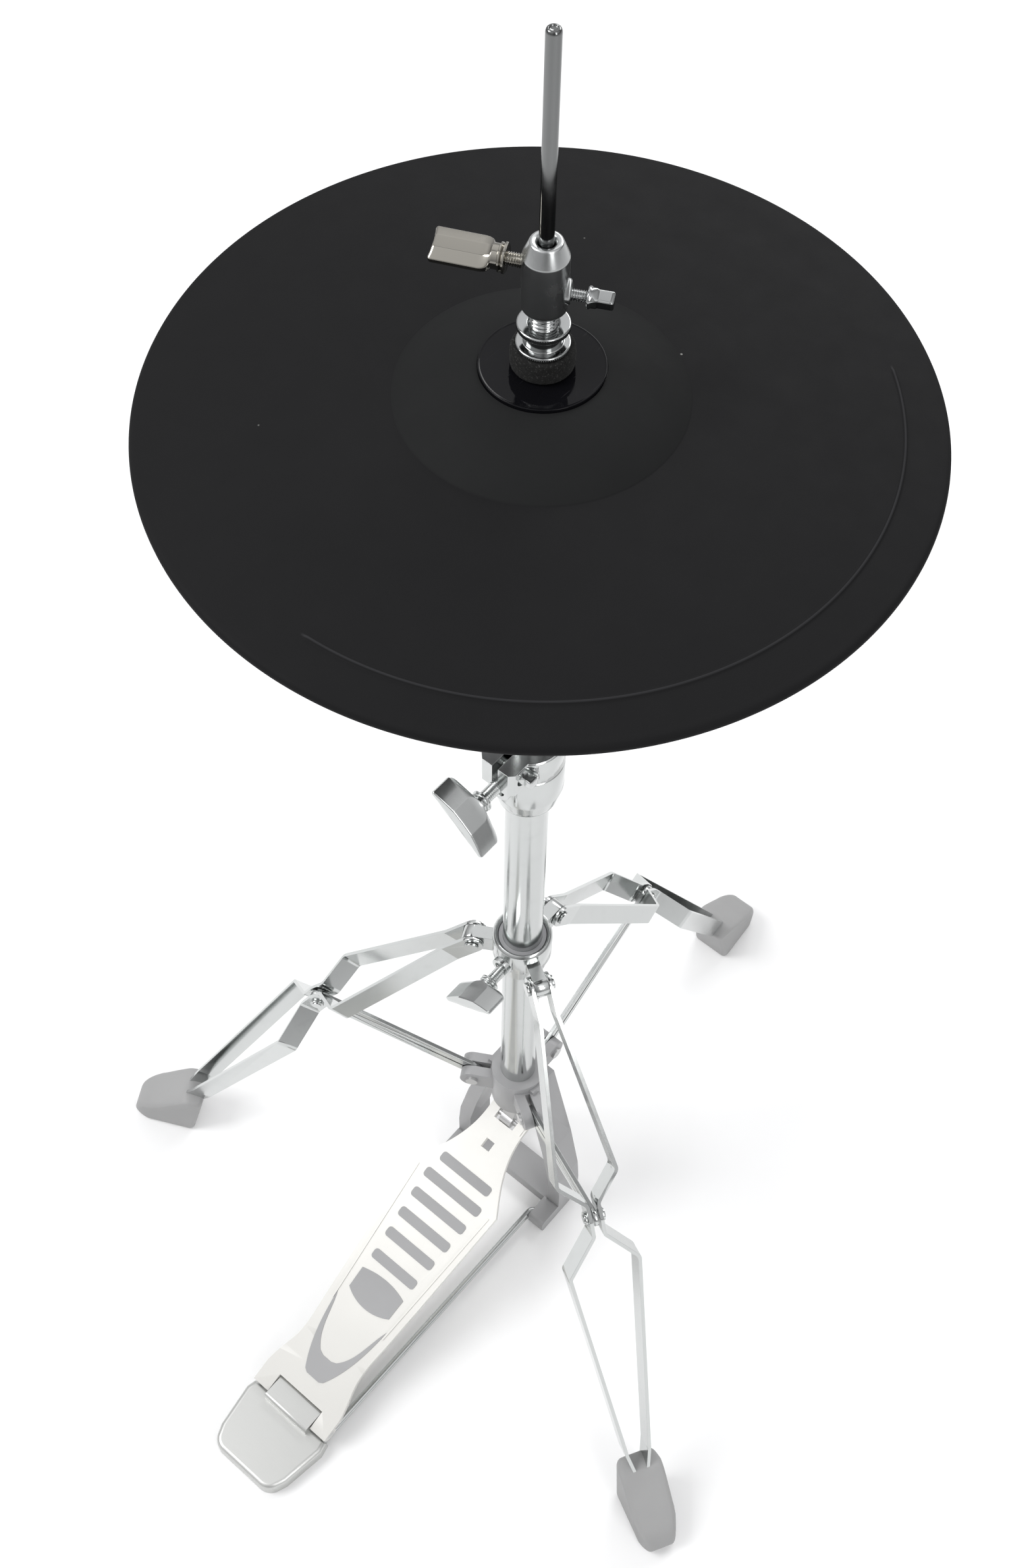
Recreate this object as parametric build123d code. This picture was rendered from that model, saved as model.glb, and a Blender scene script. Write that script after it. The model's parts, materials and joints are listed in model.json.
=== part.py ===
from build123d import *
import math
import os

# A hi-hat for an electronic drum kit: a rubber-skinned cymbal pad on a clutch and pull rod, a
# position controller under it, and a folding three-legged pedal stand.
# Millimetres, +Z up. The origin is on the column's axis at floor level. The pedal points to -Y.

# ---------------------------------------------------------------- driving dimensions
PAD_R = 177.8                 # a 14 inch pad
PAD_RIM_Z = 860.0             # height of the pad's rim
PAD_TOP_Z = 890.0             # top of the glossy disc at the pad's centre
ROD_TOP_Z = 1051.0
ROD_R = 3.175
LOWER_ROD_R = 4.0

BASE_TUBE_R = 12.7
BASE_TUBE_WALL = 1.5
UPPER_TUBE_R = 9.525
UPPER_TUBE_WALL = 1.2
RUN_GAP = 0.05                # radial clearance of a turning or sliding fit
SIDE_GAP = 0.4                # gap beside a moving flat face
TUBE_BOTTOM_Z = 152.0
TUBE_TOP_Z = 584.0
CLAMP_TOP_Z = 596.0

LEG_AZIMUTHS = {"left": 210.0, "rear": 90.0, "right": -30.0}
HUB_PIVOT = (32.0, 378.0)     # radius and height of each leg's top pin
KNEE_PIVOT = (144.0, 251.5)   # where the brace meets the leg
BOOT_MOUTH = (257.0, 52.0)    # where the strips enter the rubber boot
BRACE_PIVOT = (32.5, 175.0)
STRIP_W = 15.0
STRIP_T = 2.5
BRACE_W = 14.0
BRACE_T = 3.0
PIN_R = 2.5
LUG_T = 9.0

PEDAL_AXIS = (-254.5, 17.0)   # Y and Z of the footboard's heel pin
PEDAL_SLOPE = 20.87           # degrees
BOARD_T = 5.0
BOARD_TOP = 5.5               # board's top face above the heel pin, across the board
TOE_PIN_S = 264.0             # heel pin to toe pin, along the board
TOE_PIN_LIFT = 3.0
TOE_S = 272.0                 # length of the footboard from its heel pin
# half length and place of each slot in the footboard's rubber pattern
GRIP_SHAPES = [(24, 211), (27, 194.5), (25.6, 177.2), (24.3, 159.6), (22.8, 142), (21, 123)]

LOCK_Z = (596.3, 616.0)
SEAT_Z = 776.0
CONTROLLER_Z = (796.0, 826.0)
WALL = 2.5                    # of the controller's housing

SKIN_T = 2.8                  # rubber skin
CORE_T = 3.2                  # plastic core under it
BELL_R = 64.7
CUP_R = 27.5
HUB_TOP_Z = PAD_TOP_Z - 2.5
COVER_Z = 851.0
STEM_HOLE_R = 6.6
JACK_AZIMUTH = 90.0
JACK_R = 3.2                  # bore of a 6.35 mm jack socket
JACK_Z = COVER_Z - 4
BEAD_AZIMUTH = 272.7          # where the thin raised line starts, and the angle that it covers
BEAD_SPAN = 137.0
BEAD_R = 157.2

STEM_R = 6.0
BODY_Z = (921.5, 956.0)
WING_AZIMUTH = 205.0
KEY_AZIMUTH = 27.0
CLUTCH_WING_Z = 943.0
CLUTCH_KEY_Z = 930.5

WING_BOLT_Z = 590.0
HUB_BOLT_Z = 377.0
LUG_SIDE = LUG_T / 2 + 0.3 + STRIP_T / 2      # middle of a strip beside the hub's lug
PINCH_SIDE = BRACE_T / 2 + 1.1 + STRIP_T / 2  # middle of a strip beside the brace

FRAME_Y = (-8.0, 16.0)       # reach of the cast frame in Y, without its toes


# ---------------------------------------------------------------- small helpers
def save(name, *solids):
    """Write one sub-part, as one solid or a group of solids."""
    flat = []
    for shape in solids:
        flat.extend(shape.solids())
    body = flat[0] if len(flat) == 1 else Compound(children=flat)
    body.label = name
    export_step(body, f"parts/{name}.step")


def disc(r, z0, z1):
    return Pos(0, 0, z0) * Cylinder(r, z1 - z0, align=(Align.CENTER, Align.CENTER, Align.MIN))


def ring(r_out, r_in, z0, z1):
    return disc(r_out, z0, z1) - disc(r_in, z0 - 1, z1 + 1)


def block(x0, x1, y0, y1, z0, z1):
    return Pos((x0 + x1) / 2, (y0 + y1) / 2, (z0 + z1) / 2) * Box(x1 - x0, y1 - y0, z1 - z0)


def turned(*points):
    """A solid of revolution about Z from a closed outline of (radius, height) points."""
    outline = Polyline(*[(r, 0, z) for r, z in points], close=True)
    return revolve(make_face(outline), Axis.Z)


def along_x(r, x0, x1, y=0.0, z=0.0):
    return Pos(x0, y, z) * (Rot(0, 90, 0) * disc(r, 0, x1 - x0))


def along_y(r, y0, y1, x=0.0, z=0.0):
    return Pos(x, y0, z) * (Rot(-90, 0, 0) * disc(r, 0, y1 - y0))


def turned_out(azimuth, shape):
    """Turn a shape that was built on the +X side out to an azimuth."""
    return Rot(0, 0, azimuth) * shape


def raised(face, depth):
    """A face in the XY plane raised from z = 0 to depth."""
    return extrude(face, depth, dir=(0, 0, 1))


def prism(points, depth):
    """An XY outline raised from z = 0 to depth."""
    return raised(make_face(Polyline(*points, close=True)), depth)


def on_edge(face, y0, y1):
    """A face drawn as (radius, height) in XY, stood up in the XZ plane from y0 to y1."""
    return Pos(0, y1, 0) * (Rot(90, 0, 0) * raised(face, y1 - y0))


def coil(r, wire_r, z0, z1, turns):
    """A spring with its wire's outside between z0 and z1."""
    height = z1 - z0 - 2 * wire_r
    path = Pos(0, 0, z0 + wire_r) * Helix(height / turns, height, r)
    section = Plane(origin=path @ 0, z_dir=path % 0) * Circle(wire_r)
    return sweep(section, path)


def wing_screw(shank_r, shank, hub_r, hub, blade, span, thick):
    """A wing screw along +X: the shank starts at 0, then come a flange, a hub and two blades.

    The blades lie in XY. They are thick beside the axis and thin at their outer edges."""
    hub_end, half = shank + hub, span / 2
    body = along_x(shank_r, 0, shank + 1) + along_x(hub_r, shank, hub_end)
    body += along_x(hub_r + 1, shank, shank + 1.5)
    end = [(half, -0.2 * thick), (half, 0.2 * thick), (0.4 * half, thick / 2)]
    end += [(-x, y) for x, y in reversed(end)] + [(-0.4 * half, -thick / 2), (0.4 * half, -thick / 2)]
    bar = Rot(90, 0, 90) * prism(end, blade + 4)
    plan = prism([(hub_end - 4, -hub_r * 0.6), (hub_end, -half), (hub_end + blade, -half),
                  (hub_end + blade - 1.5, 0), (hub_end + blade, half), (hub_end, half),
                  (hub_end - 4, hub_r * 0.6)], 2 * thick)
    return body + (Pos(hub_end - 4, 0, 0) * bar & Pos(0, 0, -thick) * plan)


def key_screw(shank_r, shank, flange_r, square, head):
    """A square-headed screw along +X."""
    body = along_x(shank_r, 0, shank + 1) + along_x(flange_r, shank, shank + 1.5)
    half = square / 2
    return body + block(shank + 1, shank + 1.5 + head, -half, half, -half, half)


# ---------------------------------------------------------------- pad


def pad_arcs(drop, bell_r, rim):
    """The pad's top curve, lowered by drop: the bell's dome, then the gentle bow to the rim."""
    bell = ThreePointArc((CUP_R + 0.3, 0, 888.6 - drop), (47, 0, 883.0 - drop), (bell_r, 0, 873.2 - drop))
    bow = ThreePointArc((bell_r, 0, 873.2 - drop), (121, 0, 868.8 - drop), (rim, 0, PAD_RIM_Z + 1.6 - drop))
    return bell, bow


def pad_skin():
    bell, bow = pad_arcs(0, BELL_R, PAD_R - 4)
    bell_in, bow_in = pad_arcs(SKIN_T, BELL_R, PAD_R - 7)
    lip = ThreePointArc(bow @ 1, (PAD_R, 0, PAD_RIM_Z - 1.4), (PAD_R - 3.6, 0, PAD_RIM_Z - 4.4))
    under = Polyline(lip @ 1, (PAD_R - 7, 0, PAD_RIM_Z - 4.4), bow_in @ 1)
    end = Line(bell_in @ 0, bell @ 0)
    skin = revolve(make_face([bell, bow, lip, under, bow_in, bell_in, end]), Axis.Z)
    # A thin raised line follows the front of the rim, where the edge sensor lies.
    bead = revolve(Pos(BEAD_R, 0, 864.25) * (Rot(90, 0, 0) * Circle(0.9)), Axis.Z, BEAD_SPAN)
    return skin + Rot(0, 0, BEAD_AZIMUTH) * bead


def pad_core():
    bell, bow = pad_arcs(SKIN_T, BELL_R, PAD_R - 7)
    bell_in, bow_in = pad_arcs(SKIN_T + CORE_T, BELL_R, PAD_R - 7)
    rim = Line(bow @ 1, bow_in @ 1)
    hub = Polyline(bell_in @ 0, (CUP_R + 0.3, 0, 868), (STEM_HOLE_R, 0, 868), (STEM_HOLE_R, 0, HUB_TOP_Z),
                   (CUP_R + 0.3, 0, HUB_TOP_Z), bell @ 0)
    return revolve(make_face([bell, bow, rim, bow_in, bell_in, hub]), Axis.Z) - edge_sensor()


def edge_sensor():
    """The film switch, sealed inside the core under the rim."""
    return ring(168, 160, PAD_RIM_Z - 1.7, PAD_RIM_Z - 1.1)


def pad_bottom_cover():
    cover = turned((16, COVER_Z), (150, COVER_Z), (166, COVER_Z + 2.5), (166, COVER_Z + 5.1),
                   (149, COVER_Z + 2.5), (18.5, COVER_Z + 2.5), (18.5, 867.9), (16, 867.9))
    boss = along_x(8, 122, 146, z=JACK_Z) + block(122, 146, -8, 8, JACK_Z, COVER_Z + 2)
    cover = cover + turned_out(JACK_AZIMUTH, boss) - turned_out(JACK_AZIMUTH, along_x(6, 123.5, 150, z=JACK_Z))
    for step in range(8):
        hole = Pos(142, 0, COVER_Z - 1) * Cylinder(1.5, 10)
        cover -= Rot(0, 0, 22.5 + 45 * step) * hole
    return cover


def pad_parts():
    save("pad_rubber_skin", pad_skin())
    save("pad_core", pad_core())
    cup = turned((STEM_HOLE_R, HUB_TOP_Z), (CUP_R, HUB_TOP_Z), (CUP_R, PAD_TOP_Z - 0.3),
                 (CUP_R - 0.5, PAD_TOP_Z + 0.2), (CUP_R - 1.3, PAD_TOP_Z), (STEM_HOLE_R, PAD_TOP_Z))
    save("pad_cup_disc", cup)
    save("pad_bottom_cover", pad_bottom_cover())
    save("pad_edge_sensor", edge_sensor())
    places = ((-90, 100, 17.5), (90, 45, 13.5))
    piezos = [Rot(0, 0, a) * (Pos(out, 0, 0) * disc(r, 856, 857)) for a, out, r in places]
    save("pad_piezo_sensors", *piezos)
    socket = along_x(6, 123.5, 145.5, z=JACK_Z) - along_x(JACK_R, 126, 147, z=JACK_Z)
    save("pad_jack_socket", turned_out(JACK_AZIMUTH, socket))
    screw = Pos(142, 0, 0) * (disc(3, COVER_Z - 1.6, COVER_Z) + disc(1.5, COVER_Z, 856))
    screws = [Rot(0, 0, 22.5 + 45 * i) * screw for i in range(8)]
    save("pad_cover_screws", *screws)


# ---------------------------------------------------------------- clutch and rod


def clutch_parts():
    body = turned((STEM_R, BODY_Z[0]), (9.2, BODY_Z[0]), (9.9, BODY_Z[0] + 1.2), (9.9, 948.3), (6.4, BODY_Z[1]),
                  (4.6, BODY_Z[1]), (3.4, BODY_Z[1] - 1.5), (3.4, 934.5), (STEM_R, 934.5))
    boss = turned_out(KEY_AZIMUTH, along_x(4.6, 8.5, 11.2, z=CLUTCH_KEY_Z))
    wing_hole = turned_out(WING_AZIMUTH, along_x(3 + RUN_GAP, 3.6, 20, z=CLUTCH_WING_Z))
    key_hole = turned_out(KEY_AZIMUTH, along_x(2.5 + RUN_GAP, STEM_R, 20, z=CLUTCH_KEY_Z))
    body = body + (boss - disc(9.5, 900, 960)) - wing_hole - key_hole
    save("clutch_body", body)
    save("clutch_stem", ring(STEM_R, 3.4, 846.8, 934.4))
    wing = wing_screw(3, 12.3, 5.3, 9.5, 21.9, 15.5, 6.4)
    wing = Pos(3.7, 0, CLUTCH_WING_Z) * (Rot(-17, 0, 0) * wing)
    save("clutch_wing_screw", turned_out(WING_AZIMUTH, wing))
    key = Pos(6.2, 0, CLUTCH_KEY_Z) * key_screw(2.5, 11.6, 4.8, 6, 9.5)
    save("clutch_key_screw", turned_out(KEY_AZIMUTH, key))
    bore = STEM_R + RUN_GAP
    save("clutch_upper_nut", turned((bore, 909.3), (8, 909.3), (8, 910.6), (10.9, 910.6), (11.4, 911.1),
                                    (11.4, 913), (10.9, 913.5), (bore, 913.5)))
    save("clutch_flange_nut", turned((bore, 901.3), (11.3, 901.3), (11.8, 901.8), (11.8, 902.8), (11.3, 903.3),
                                     (8.3, 903.3), (8.3, 908.9), (bore, 908.9)))
    felt = turned((6.2, 890.5), (13.4, 890.5), (14.2, 891.6), (14.2, 900.0), (13.4, 901.1), (6.2, 901.1))
    save("clutch_upper_felt", felt)
    save("clutch_lower_felt", ring(14, 6.2, 857.6, 867.7))
    save("clutch_bottom_nut", turned((bore, 847), (10.4, 847), (11, 847.6), (11, 856.6), (10.4, 857.2),
                                     (bore, 857.2)))


def rod_parts():
    # A shallow groove in the clutch's mouth ends the rod's free upper stretch.
    mouth = BODY_Z[1]
    pull = turned((0, 676), (2.4, 676), (2.4, 690), (ROD_R, 690), (ROD_R, mouth - 1.4),
                  (ROD_R - 0.3, mouth - 1.1), (ROD_R - 0.3, mouth + 0.6), (ROD_R, mouth + 0.9),
                  (ROD_R, ROD_TOP_Z - 0.8),
                  (ROD_R - 0.8, ROD_TOP_Z), (1.6, ROD_TOP_Z), (1.6, ROD_TOP_Z - 1.2), (0, ROD_TOP_Z - 1.2))
    save("pull_rod", pull)
    collar = turned((LOWER_ROD_R, 300), (9.6, 300), (9.6, 305), (6, 309), (LOWER_ROD_R, 309))
    lower = disc(LOWER_ROD_R, 160, 690) + collar - disc(2.4, 676, 691)
    cheek = 5 + SIDE_GAP
    fork = block(-cheek - 3, cheek + 3, -5, 5, 141, 162) & along_x(12.6, -9, 9, z=150)
    lower = lower + fork - block(-cheek, cheek, -6, 6, 140, 155.5)
    lower += along_x(PIN_R, -cheek - 3, cheek + 3, z=148)
    save("lower_pull_rod", lower)
    save("return_spring", coil(7.4, 1.0, 168.5, 299.7, 13))
    save("rod_guide_bush", ring(BASE_TUBE_R - BASE_TUBE_WALL, LOWER_ROD_R + RUN_GAP, 163, 168.4))


# ---------------------------------------------------------------- controller, seat and tubes
def controller_parts():
    z0, z1 = CONTROLLER_Z
    shell = turned((7.6, z0), (39, z0), (42, z0 + 3), (43, z1 - 6), (38, z1), (15.6, z1), (15.6, z1 - WALL),
                   (37, z1 - WALL), (40.4, z1 - 7), (39.6, z0 + 4), (38, z0 + WALL), (7.6, z0 + WALL))
    sleeve = ring(7.6, 5.4, z0, z1 - 3)
    boss = turned_out(90, along_x(8, 39, 46, z=z0 + 12))
    housing = shell + sleeve + boss - turned_out(90, along_x(6, 34, 50, z=z0 + 12))
    save("controller_housing", housing)
    plunger = turned((7.9, z1 - 4.8), (17.5, z1 - 4.8), (17.5, z1 - 2.8), (15.3, z1 - 2.8), (15.3, 845.6),
                     (14.3, 846.6), (7.9, 846.6))
    save("controller_plunger", plunger)
    save("controller_spring", coil(12.5, 0.7, z0 + WALL, z1 - 5, 4))
    board_top = z0 + WALL + 1.6
    board = block(20, 35, -14, 14, z0 + WALL, board_top) + block(23, 30, -5, 3, board_top, board_top + 2.4)
    save("controller_board", turned_out(200, board))
    jack = along_x(5.9, 22, 45.5, z=z0 + 12) - along_x(JACK_R, 24.5, 47, z=z0 + 12)
    save("controller_jack_socket", turned_out(90, jack))


def seat_parts():
    cup = turned((5, SEAT_Z + 6.2), (UPPER_TUBE_R, SEAT_Z + 6.2), (UPPER_TUBE_R, SEAT_Z - 6), (13, SEAT_Z - 6),
                 (14, SEAT_Z + 2), (24, SEAT_Z + 8), (26, SEAT_Z + 15), (24, SEAT_Z + 15),
                 (22.4, SEAT_Z + 10.5), (5, SEAT_Z + 10.5))
    save("seat_cup", cup)
    save("seat_felt", ring(21.5, 6.2, SEAT_Z + 10.5, CONTROLLER_Z[0]))
    save("upper_tube", ring(UPPER_TUBE_R, UPPER_TUBE_R - UPPER_TUBE_WALL, 470, SEAT_Z + 6.2))


def memory_lock_parts():
    z0, z1 = LOCK_Z
    zm = (z0 + z1) / 2
    bore = UPPER_TUBE_R + RUN_GAP
    lock = disc(20.5, z0, z1)
    ears = prism([(-12, -14), (-12, -26), (-9, -29), (9, -29), (12, -26), (12, -14), (17, -8),
                  (-17, -8)], z1 - z0)
    lock = lock + Pos(0, 0, z0) * ears
    lock = chamfer(lock.edges().group_by(Axis.Z)[-1].filter_by(GeomType.CIRCLE), 1)
    lock = lock - disc(bore, z0 - 1, z1 + 1) - block(-2, 2, -40, 0, z0 - 1, z1 + 1)
    lock -= along_x(3 + RUN_GAP, -20, 20, y=-18, z=zm)
    lock -= along_x(6, 8.5, 30, y=-18, z=zm)
    save("memory_lock", lock)
    key = Pos(-11.5, -18, zm) * key_screw(3, 21, 5, 6.5, 8)
    save("memory_lock_key_bolt", key)


def height_clamp_parts():
    clamp = turned((BASE_TUBE_R, 557), (16, 557), (17.5, 559), (20.5, 572),
                   (20.5, CLAMP_TOP_Z - 1), (19.5, CLAMP_TOP_Z), (BASE_TUBE_R, CLAMP_TOP_Z))
    boss = turned_out(-90, along_x(7.2, 14, 26, z=WING_BOLT_Z))
    clamp = clamp + ((boss & disc(40, 500, CLAMP_TOP_Z)) - disc(15, 500, 600)) - disc(BASE_TUBE_R, 500, 600)
    clamp -= turned_out(-90, along_x(4 + RUN_GAP, 5, 30, z=WING_BOLT_Z))
    save("height_clamp", clamp)
    inner = BASE_TUBE_R - BASE_TUBE_WALL
    bush = turned((UPPER_TUBE_R + RUN_GAP, 540), (inner, 540), (inner, TUBE_TOP_Z), (BASE_TUBE_R, TUBE_TOP_Z),
                  (BASE_TUBE_R, CLAMP_TOP_Z), (UPPER_TUBE_R + RUN_GAP, CLAMP_TOP_Z))
    save("height_bushing", bush - turned_out(-90, along_x(4 + RUN_GAP, 11.6, 30, z=WING_BOLT_Z)))
    tube = ring(BASE_TUBE_R, inner, TUBE_BOTTOM_Z, TUBE_TOP_Z)
    save("base_tube", tube - turned_out(-90, along_x(4 + RUN_GAP, 5, 30, z=WING_BOLT_Z)))
    bolt = Pos(11.9, 0, WING_BOLT_Z) * (Rot(-42, 0, 0) * wing_screw(4, 27, 5.5, 8, 14, 46.6, 9))
    save("height_wing_bolt", turned_out(-90, bolt))


# ---------------------------------------------------------------- hub and legs


def span(a, b):
    """Length of the line from a to b and how far it dips below horizontal, in degrees."""
    dr, dz = b[0] - a[0], b[1] - a[1]
    return math.hypot(dr, dz), math.degrees(math.atan2(-dz, dr))


THIGH, THIGH_DIP = span(HUB_PIVOT, KNEE_PIVOT)
SHIN, SHIN_DIP = span(KNEE_PIVOT, BOOT_MOUTH)
BRACE, BRACE_RISE = span(BRACE_PIVOT, KNEE_PIVOT)


def set_along(start, dip, shape):
    """Carry a shape built along +X, with +Z across it, to a start point, dipping by dip degrees."""
    return Pos(start[0], 0, start[1]) * (Rot(0, dip, 0) * shape)


def rail(points, shift, radius):
    """A polyline moved sideways by shift, to its left, with its corners rounded."""
    headings = [math.atan2(q[1] - p[1], q[0] - p[0]) for p, q in zip(points, points[1:])]
    moved, radii = [], []
    for i, (x, y) in enumerate(points):
        before, after = headings[max(i - 1, 0)], headings[min(i, len(headings) - 1)]
        middle, turn = (before + after) / 2, after - before
        reach = shift / math.cos(turn / 2)
        moved.append((x - reach * math.sin(middle), y + reach * math.cos(middle)))
        radii.append(radius - math.copysign(shift, turn * shift))
    return FilletPolyline(*moved, radius=radii[1:-1])


def bent_strip(points, length, ends):
    """A flat strip on edge. points give its middle line as (distance, side) pairs."""
    left, right = rail(points, STRIP_T / 2, 5), rail(points, -STRIP_T / 2, 5)
    face = make_face([*left.edges(), Line(left @ 1, right @ 1), *right.edges(), Line(left @ 0, right @ 0)])
    bar = Pos(0, 0, -STRIP_W / 2) * raised(face, STRIP_W)
    outline = Rectangle(length, STRIP_W, align=(Align.MIN, Align.CENTER))
    for x in ends:
        outline += Pos(x, 0) * Circle(STRIP_W / 2)
    return bar & on_edge(outline, -60, 60)


def leg_strips():
    """One leg's two strips, mirror images, each widening to a kite above and below the knee."""
    thigh = bent_strip([(-10, LUG_SIDE), (22, LUG_SIDE), (THIGH - 31, 21), (THIGH - 12, PINCH_SIDE),
                        (THIGH + 10, PINCH_SIDE)], THIGH, (0, THIGH))
    shin = bent_strip([(-10, PINCH_SIDE), (12, PINCH_SIDE), (41, 25), (SHIN - 12, 8.5), (SHIN + 12, 4)],
                      SHIN + 12, (0,))
    strip = set_along(HUB_PIVOT, THIGH_DIP, thigh) + set_along(KNEE_PIVOT, SHIN_DIP, shin)
    strip -= along_y(PIN_R + RUN_GAP, -30, 30, x=HUB_PIVOT[0], z=HUB_PIVOT[1])
    strip -= along_y(PIN_R, -30, 30, x=KNEE_PIVOT[0], z=KNEE_PIVOT[1])
    return [strip, mirror(strip, Plane.XZ)]


def boot(strips):
    """The rubber boot on a leg's end, a wedge with its toe outwards and flat on the floor."""
    profile = Polyline((264, 0), (311, 0), (314.5, 9), (310, 22), (284, 40), (263, 53), (251, 48), close=True)
    body = on_edge(make_face(profile), -16.5, 16.5)
    body &= prism([(245, -12), (262, -16.5), (296, -16), (318, -9), (318, 9), (296, 16), (262, 16.5),
                   (245, 12)], 70)
    for strip in strips:
        body -= strip
    return body


def knee_rivet():
    """Rivet heads outside the knee with shanks in the strips only, so the brace swings clear."""
    inner, outer = PINCH_SIDE - STRIP_T / 2, PINCH_SIDE + STRIP_T / 2
    head = along_y(PIN_R, inner, outer, x=KNEE_PIVOT[0], z=KNEE_PIVOT[1])
    head += along_y(4.8, outer, outer + 1.6, x=KNEE_PIVOT[0], z=KNEE_PIVOT[1])
    head += along_y(3.2, outer + 1.6, outer + 2.4, x=KNEE_PIVOT[0], z=KNEE_PIVOT[1])
    return [head, mirror(head, Plane.XZ)]


def brace():
    bar = SlotCenterToCenter(BRACE, BRACE_W)
    bar = Pos(BRACE / 2, 0, 0) * on_edge(bar, -BRACE_T / 2, BRACE_T / 2)
    bar -= along_y(PIN_R + RUN_GAP, -9, 9)
    bar -= along_y(PIN_R + 1.0, -9, 9, x=BRACE)
    return set_along(BRACE_PIVOT, BRACE_RISE, bar)


def leg_parts():
    strips = leg_strips()
    rubber = boot(strips)
    for side, azimuth in LEG_AZIMUTHS.items():
        save(f"{side}_leg_strips", *[turned_out(azimuth, s) for s in strips])
        save(f"{side}_foot", turned_out(azimuth, rubber))
        save(f"{side}_leg_rivets", *[turned_out(azimuth, r) for r in knee_rivet()])
        save(f"{side}_brace", turned_out(azimuth, brace()))


def hub_parts():
    r, z = HUB_PIVOT
    hub = turned((BASE_TUBE_R + 0.4, 358), (15.6, 358), (16, 358.4), (16, 371), (19.3, 372.5),
                 (19.3, 392), (17.6, 394), (16.6, 393), (15.4, 390), (15.4, 364), (BASE_TUBE_R + 0.4, 364))
    lug = block(17, r, -LUG_T / 2, LUG_T / 2, z - 7.5, z + 7.5) + along_y(7.5, -LUG_T / 2, LUG_T / 2, x=r, z=z)
    lug -= along_y(PIN_R, -20, 20, x=r, z=z)
    for azimuth in LEG_AZIMUTHS.values():
        hub += turned_out(azimuth, lug)
    boss = turned_out(-90, along_x(6.6, 17, 22, z=HUB_BOLT_Z))
    hub = hub + boss - turned_out(-90, along_x(4 + RUN_GAP, 14, 30, z=HUB_BOLT_Z))
    save("leg_hub", hub - disc(15.4, 364, 389))
    bush = ring(15.4, BASE_TUBE_R + RUN_GAP, 364, 391)
    save("hub_bushing", bush - turned_out(-90, along_x(4 + RUN_GAP, 14.4, 30, z=HUB_BOLT_Z)))
    bolt = Pos(14.6, 0, HUB_BOLT_Z) * (Rot(36, 0, 0) * wing_screw(4, 17, 5.5, 8, 15, 45, 9))
    save("hub_wing_bolt", turned_out(-90, bolt))
    out = LUG_SIDE + STRIP_T / 2
    pin = along_y(PIN_R, -out - 1, out + 1, x=r, z=z)
    for s in (-1, 1):
        pin += along_y(4.6, min(s * (out + 0.3), s * (out + 2)), max(s * (out + 0.3), s * (out + 2)), x=r, z=z)
    save("hub_pins", *[turned_out(a, pin) for a in LEG_AZIMUTHS.values()])


# ---------------------------------------------------------------- pedal frame and pedal


def pedal_frame():
    """The cast frame: a socket block for the tube, brace lugs, two arms and a floor bar."""
    half_outer = [(0, 188), (21, 188), (30, 152), (41, 108), (50, 60), (52, 34), (52, 0), (0, 0)]
    outer = Polyline(*half_outer, close=True)
    half_window = [(0, 148), (18, 148), (25, 130), (33, 92), (40, 50), (40, 12), (0, 12)]
    window = Polyline(*half_window, close=True)
    face = make_face(outer) - make_face(window)
    half = on_edge(face, *FRAME_Y)
    frame = half + mirror(half, Plane.YZ)
    frame += disc(19, 150, 192)
    r, z = BRACE_PIVOT
    ear = block(12, r, -9, 9, z - 9, z + 9) + along_y(9, -9, 9, x=r, z=z)
    slot = block(20, 60, -BRACE_T / 2 - SIDE_GAP, BRACE_T / 2 + SIDE_GAP, z - 20, z + 30)
    hole = along_y(PIN_R, -20, 20, x=r, z=z)
    for azimuth in LEG_AZIMUTHS.values():
        frame += turned_out(azimuth, ear)
    for azimuth in LEG_AZIMUTHS.values():
        frame -= turned_out(azimuth, slot) + turned_out(azimuth, hole)
    frame = frame - disc(BASE_TUBE_R, TUBE_BOTTOM_Z, 200)
    for s in (-1, 1):
        toe = block(min(s * 38, s * 52), max(s * 38, s * 52), -28, -7, 0, 15)
        frame += fillet(toe.edges().filter_by(Axis.X), 3)
    return frame - block(-9.4, 9.4, -9, 9, 130, TUBE_BOTTOM_Z + 1)


def radius_rod():
    """A round wire bent to a long U, its two ends hooked into the frame's toes."""
    points = [(45, -20, 8), (35.5, -20, 8), (31.5, -286, 7), (-31.5, -286, 7), (-35.5, -20, 8), (-45, -20, 8)]
    path = FilletPolyline(*points, radius=5)
    section = Plane(origin=path @ 0, z_dir=path % 0) * Circle(2.75)
    return sweep(section, path)


def in_board(shape):
    """Carry a shape from the board's own frame (X across, Y up the board) to the heel pin."""
    return Pos(0, *PEDAL_AXIS) * (Rot(PEDAL_SLOPE, 0, 0) * shape)


def board_outline():
    """Half the outline of the footboard, from heel to toe, as (half width, distance) points."""
    straight = Line((36, -5.5), (36, 12))
    waist = Spline((36, 12), (29.5, 42), (30.5, 72), (33.5, 110), tangents=((-0.1, 1), (0.09, 1)))
    flare = Line((33.5, 110), (39.5, 199))
    toe = Spline((39.5, 199), (29.5, 216), (22, 233), (18, 250), (17.5, TOE_S), tangents=((-0.6, 1), (0, 1)))
    return [straight, waist, flare, toe]


def slot_shape(half, s):
    return Pos(0, s) * RectangleRounded(2 * half, 8, 2.6)


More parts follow.
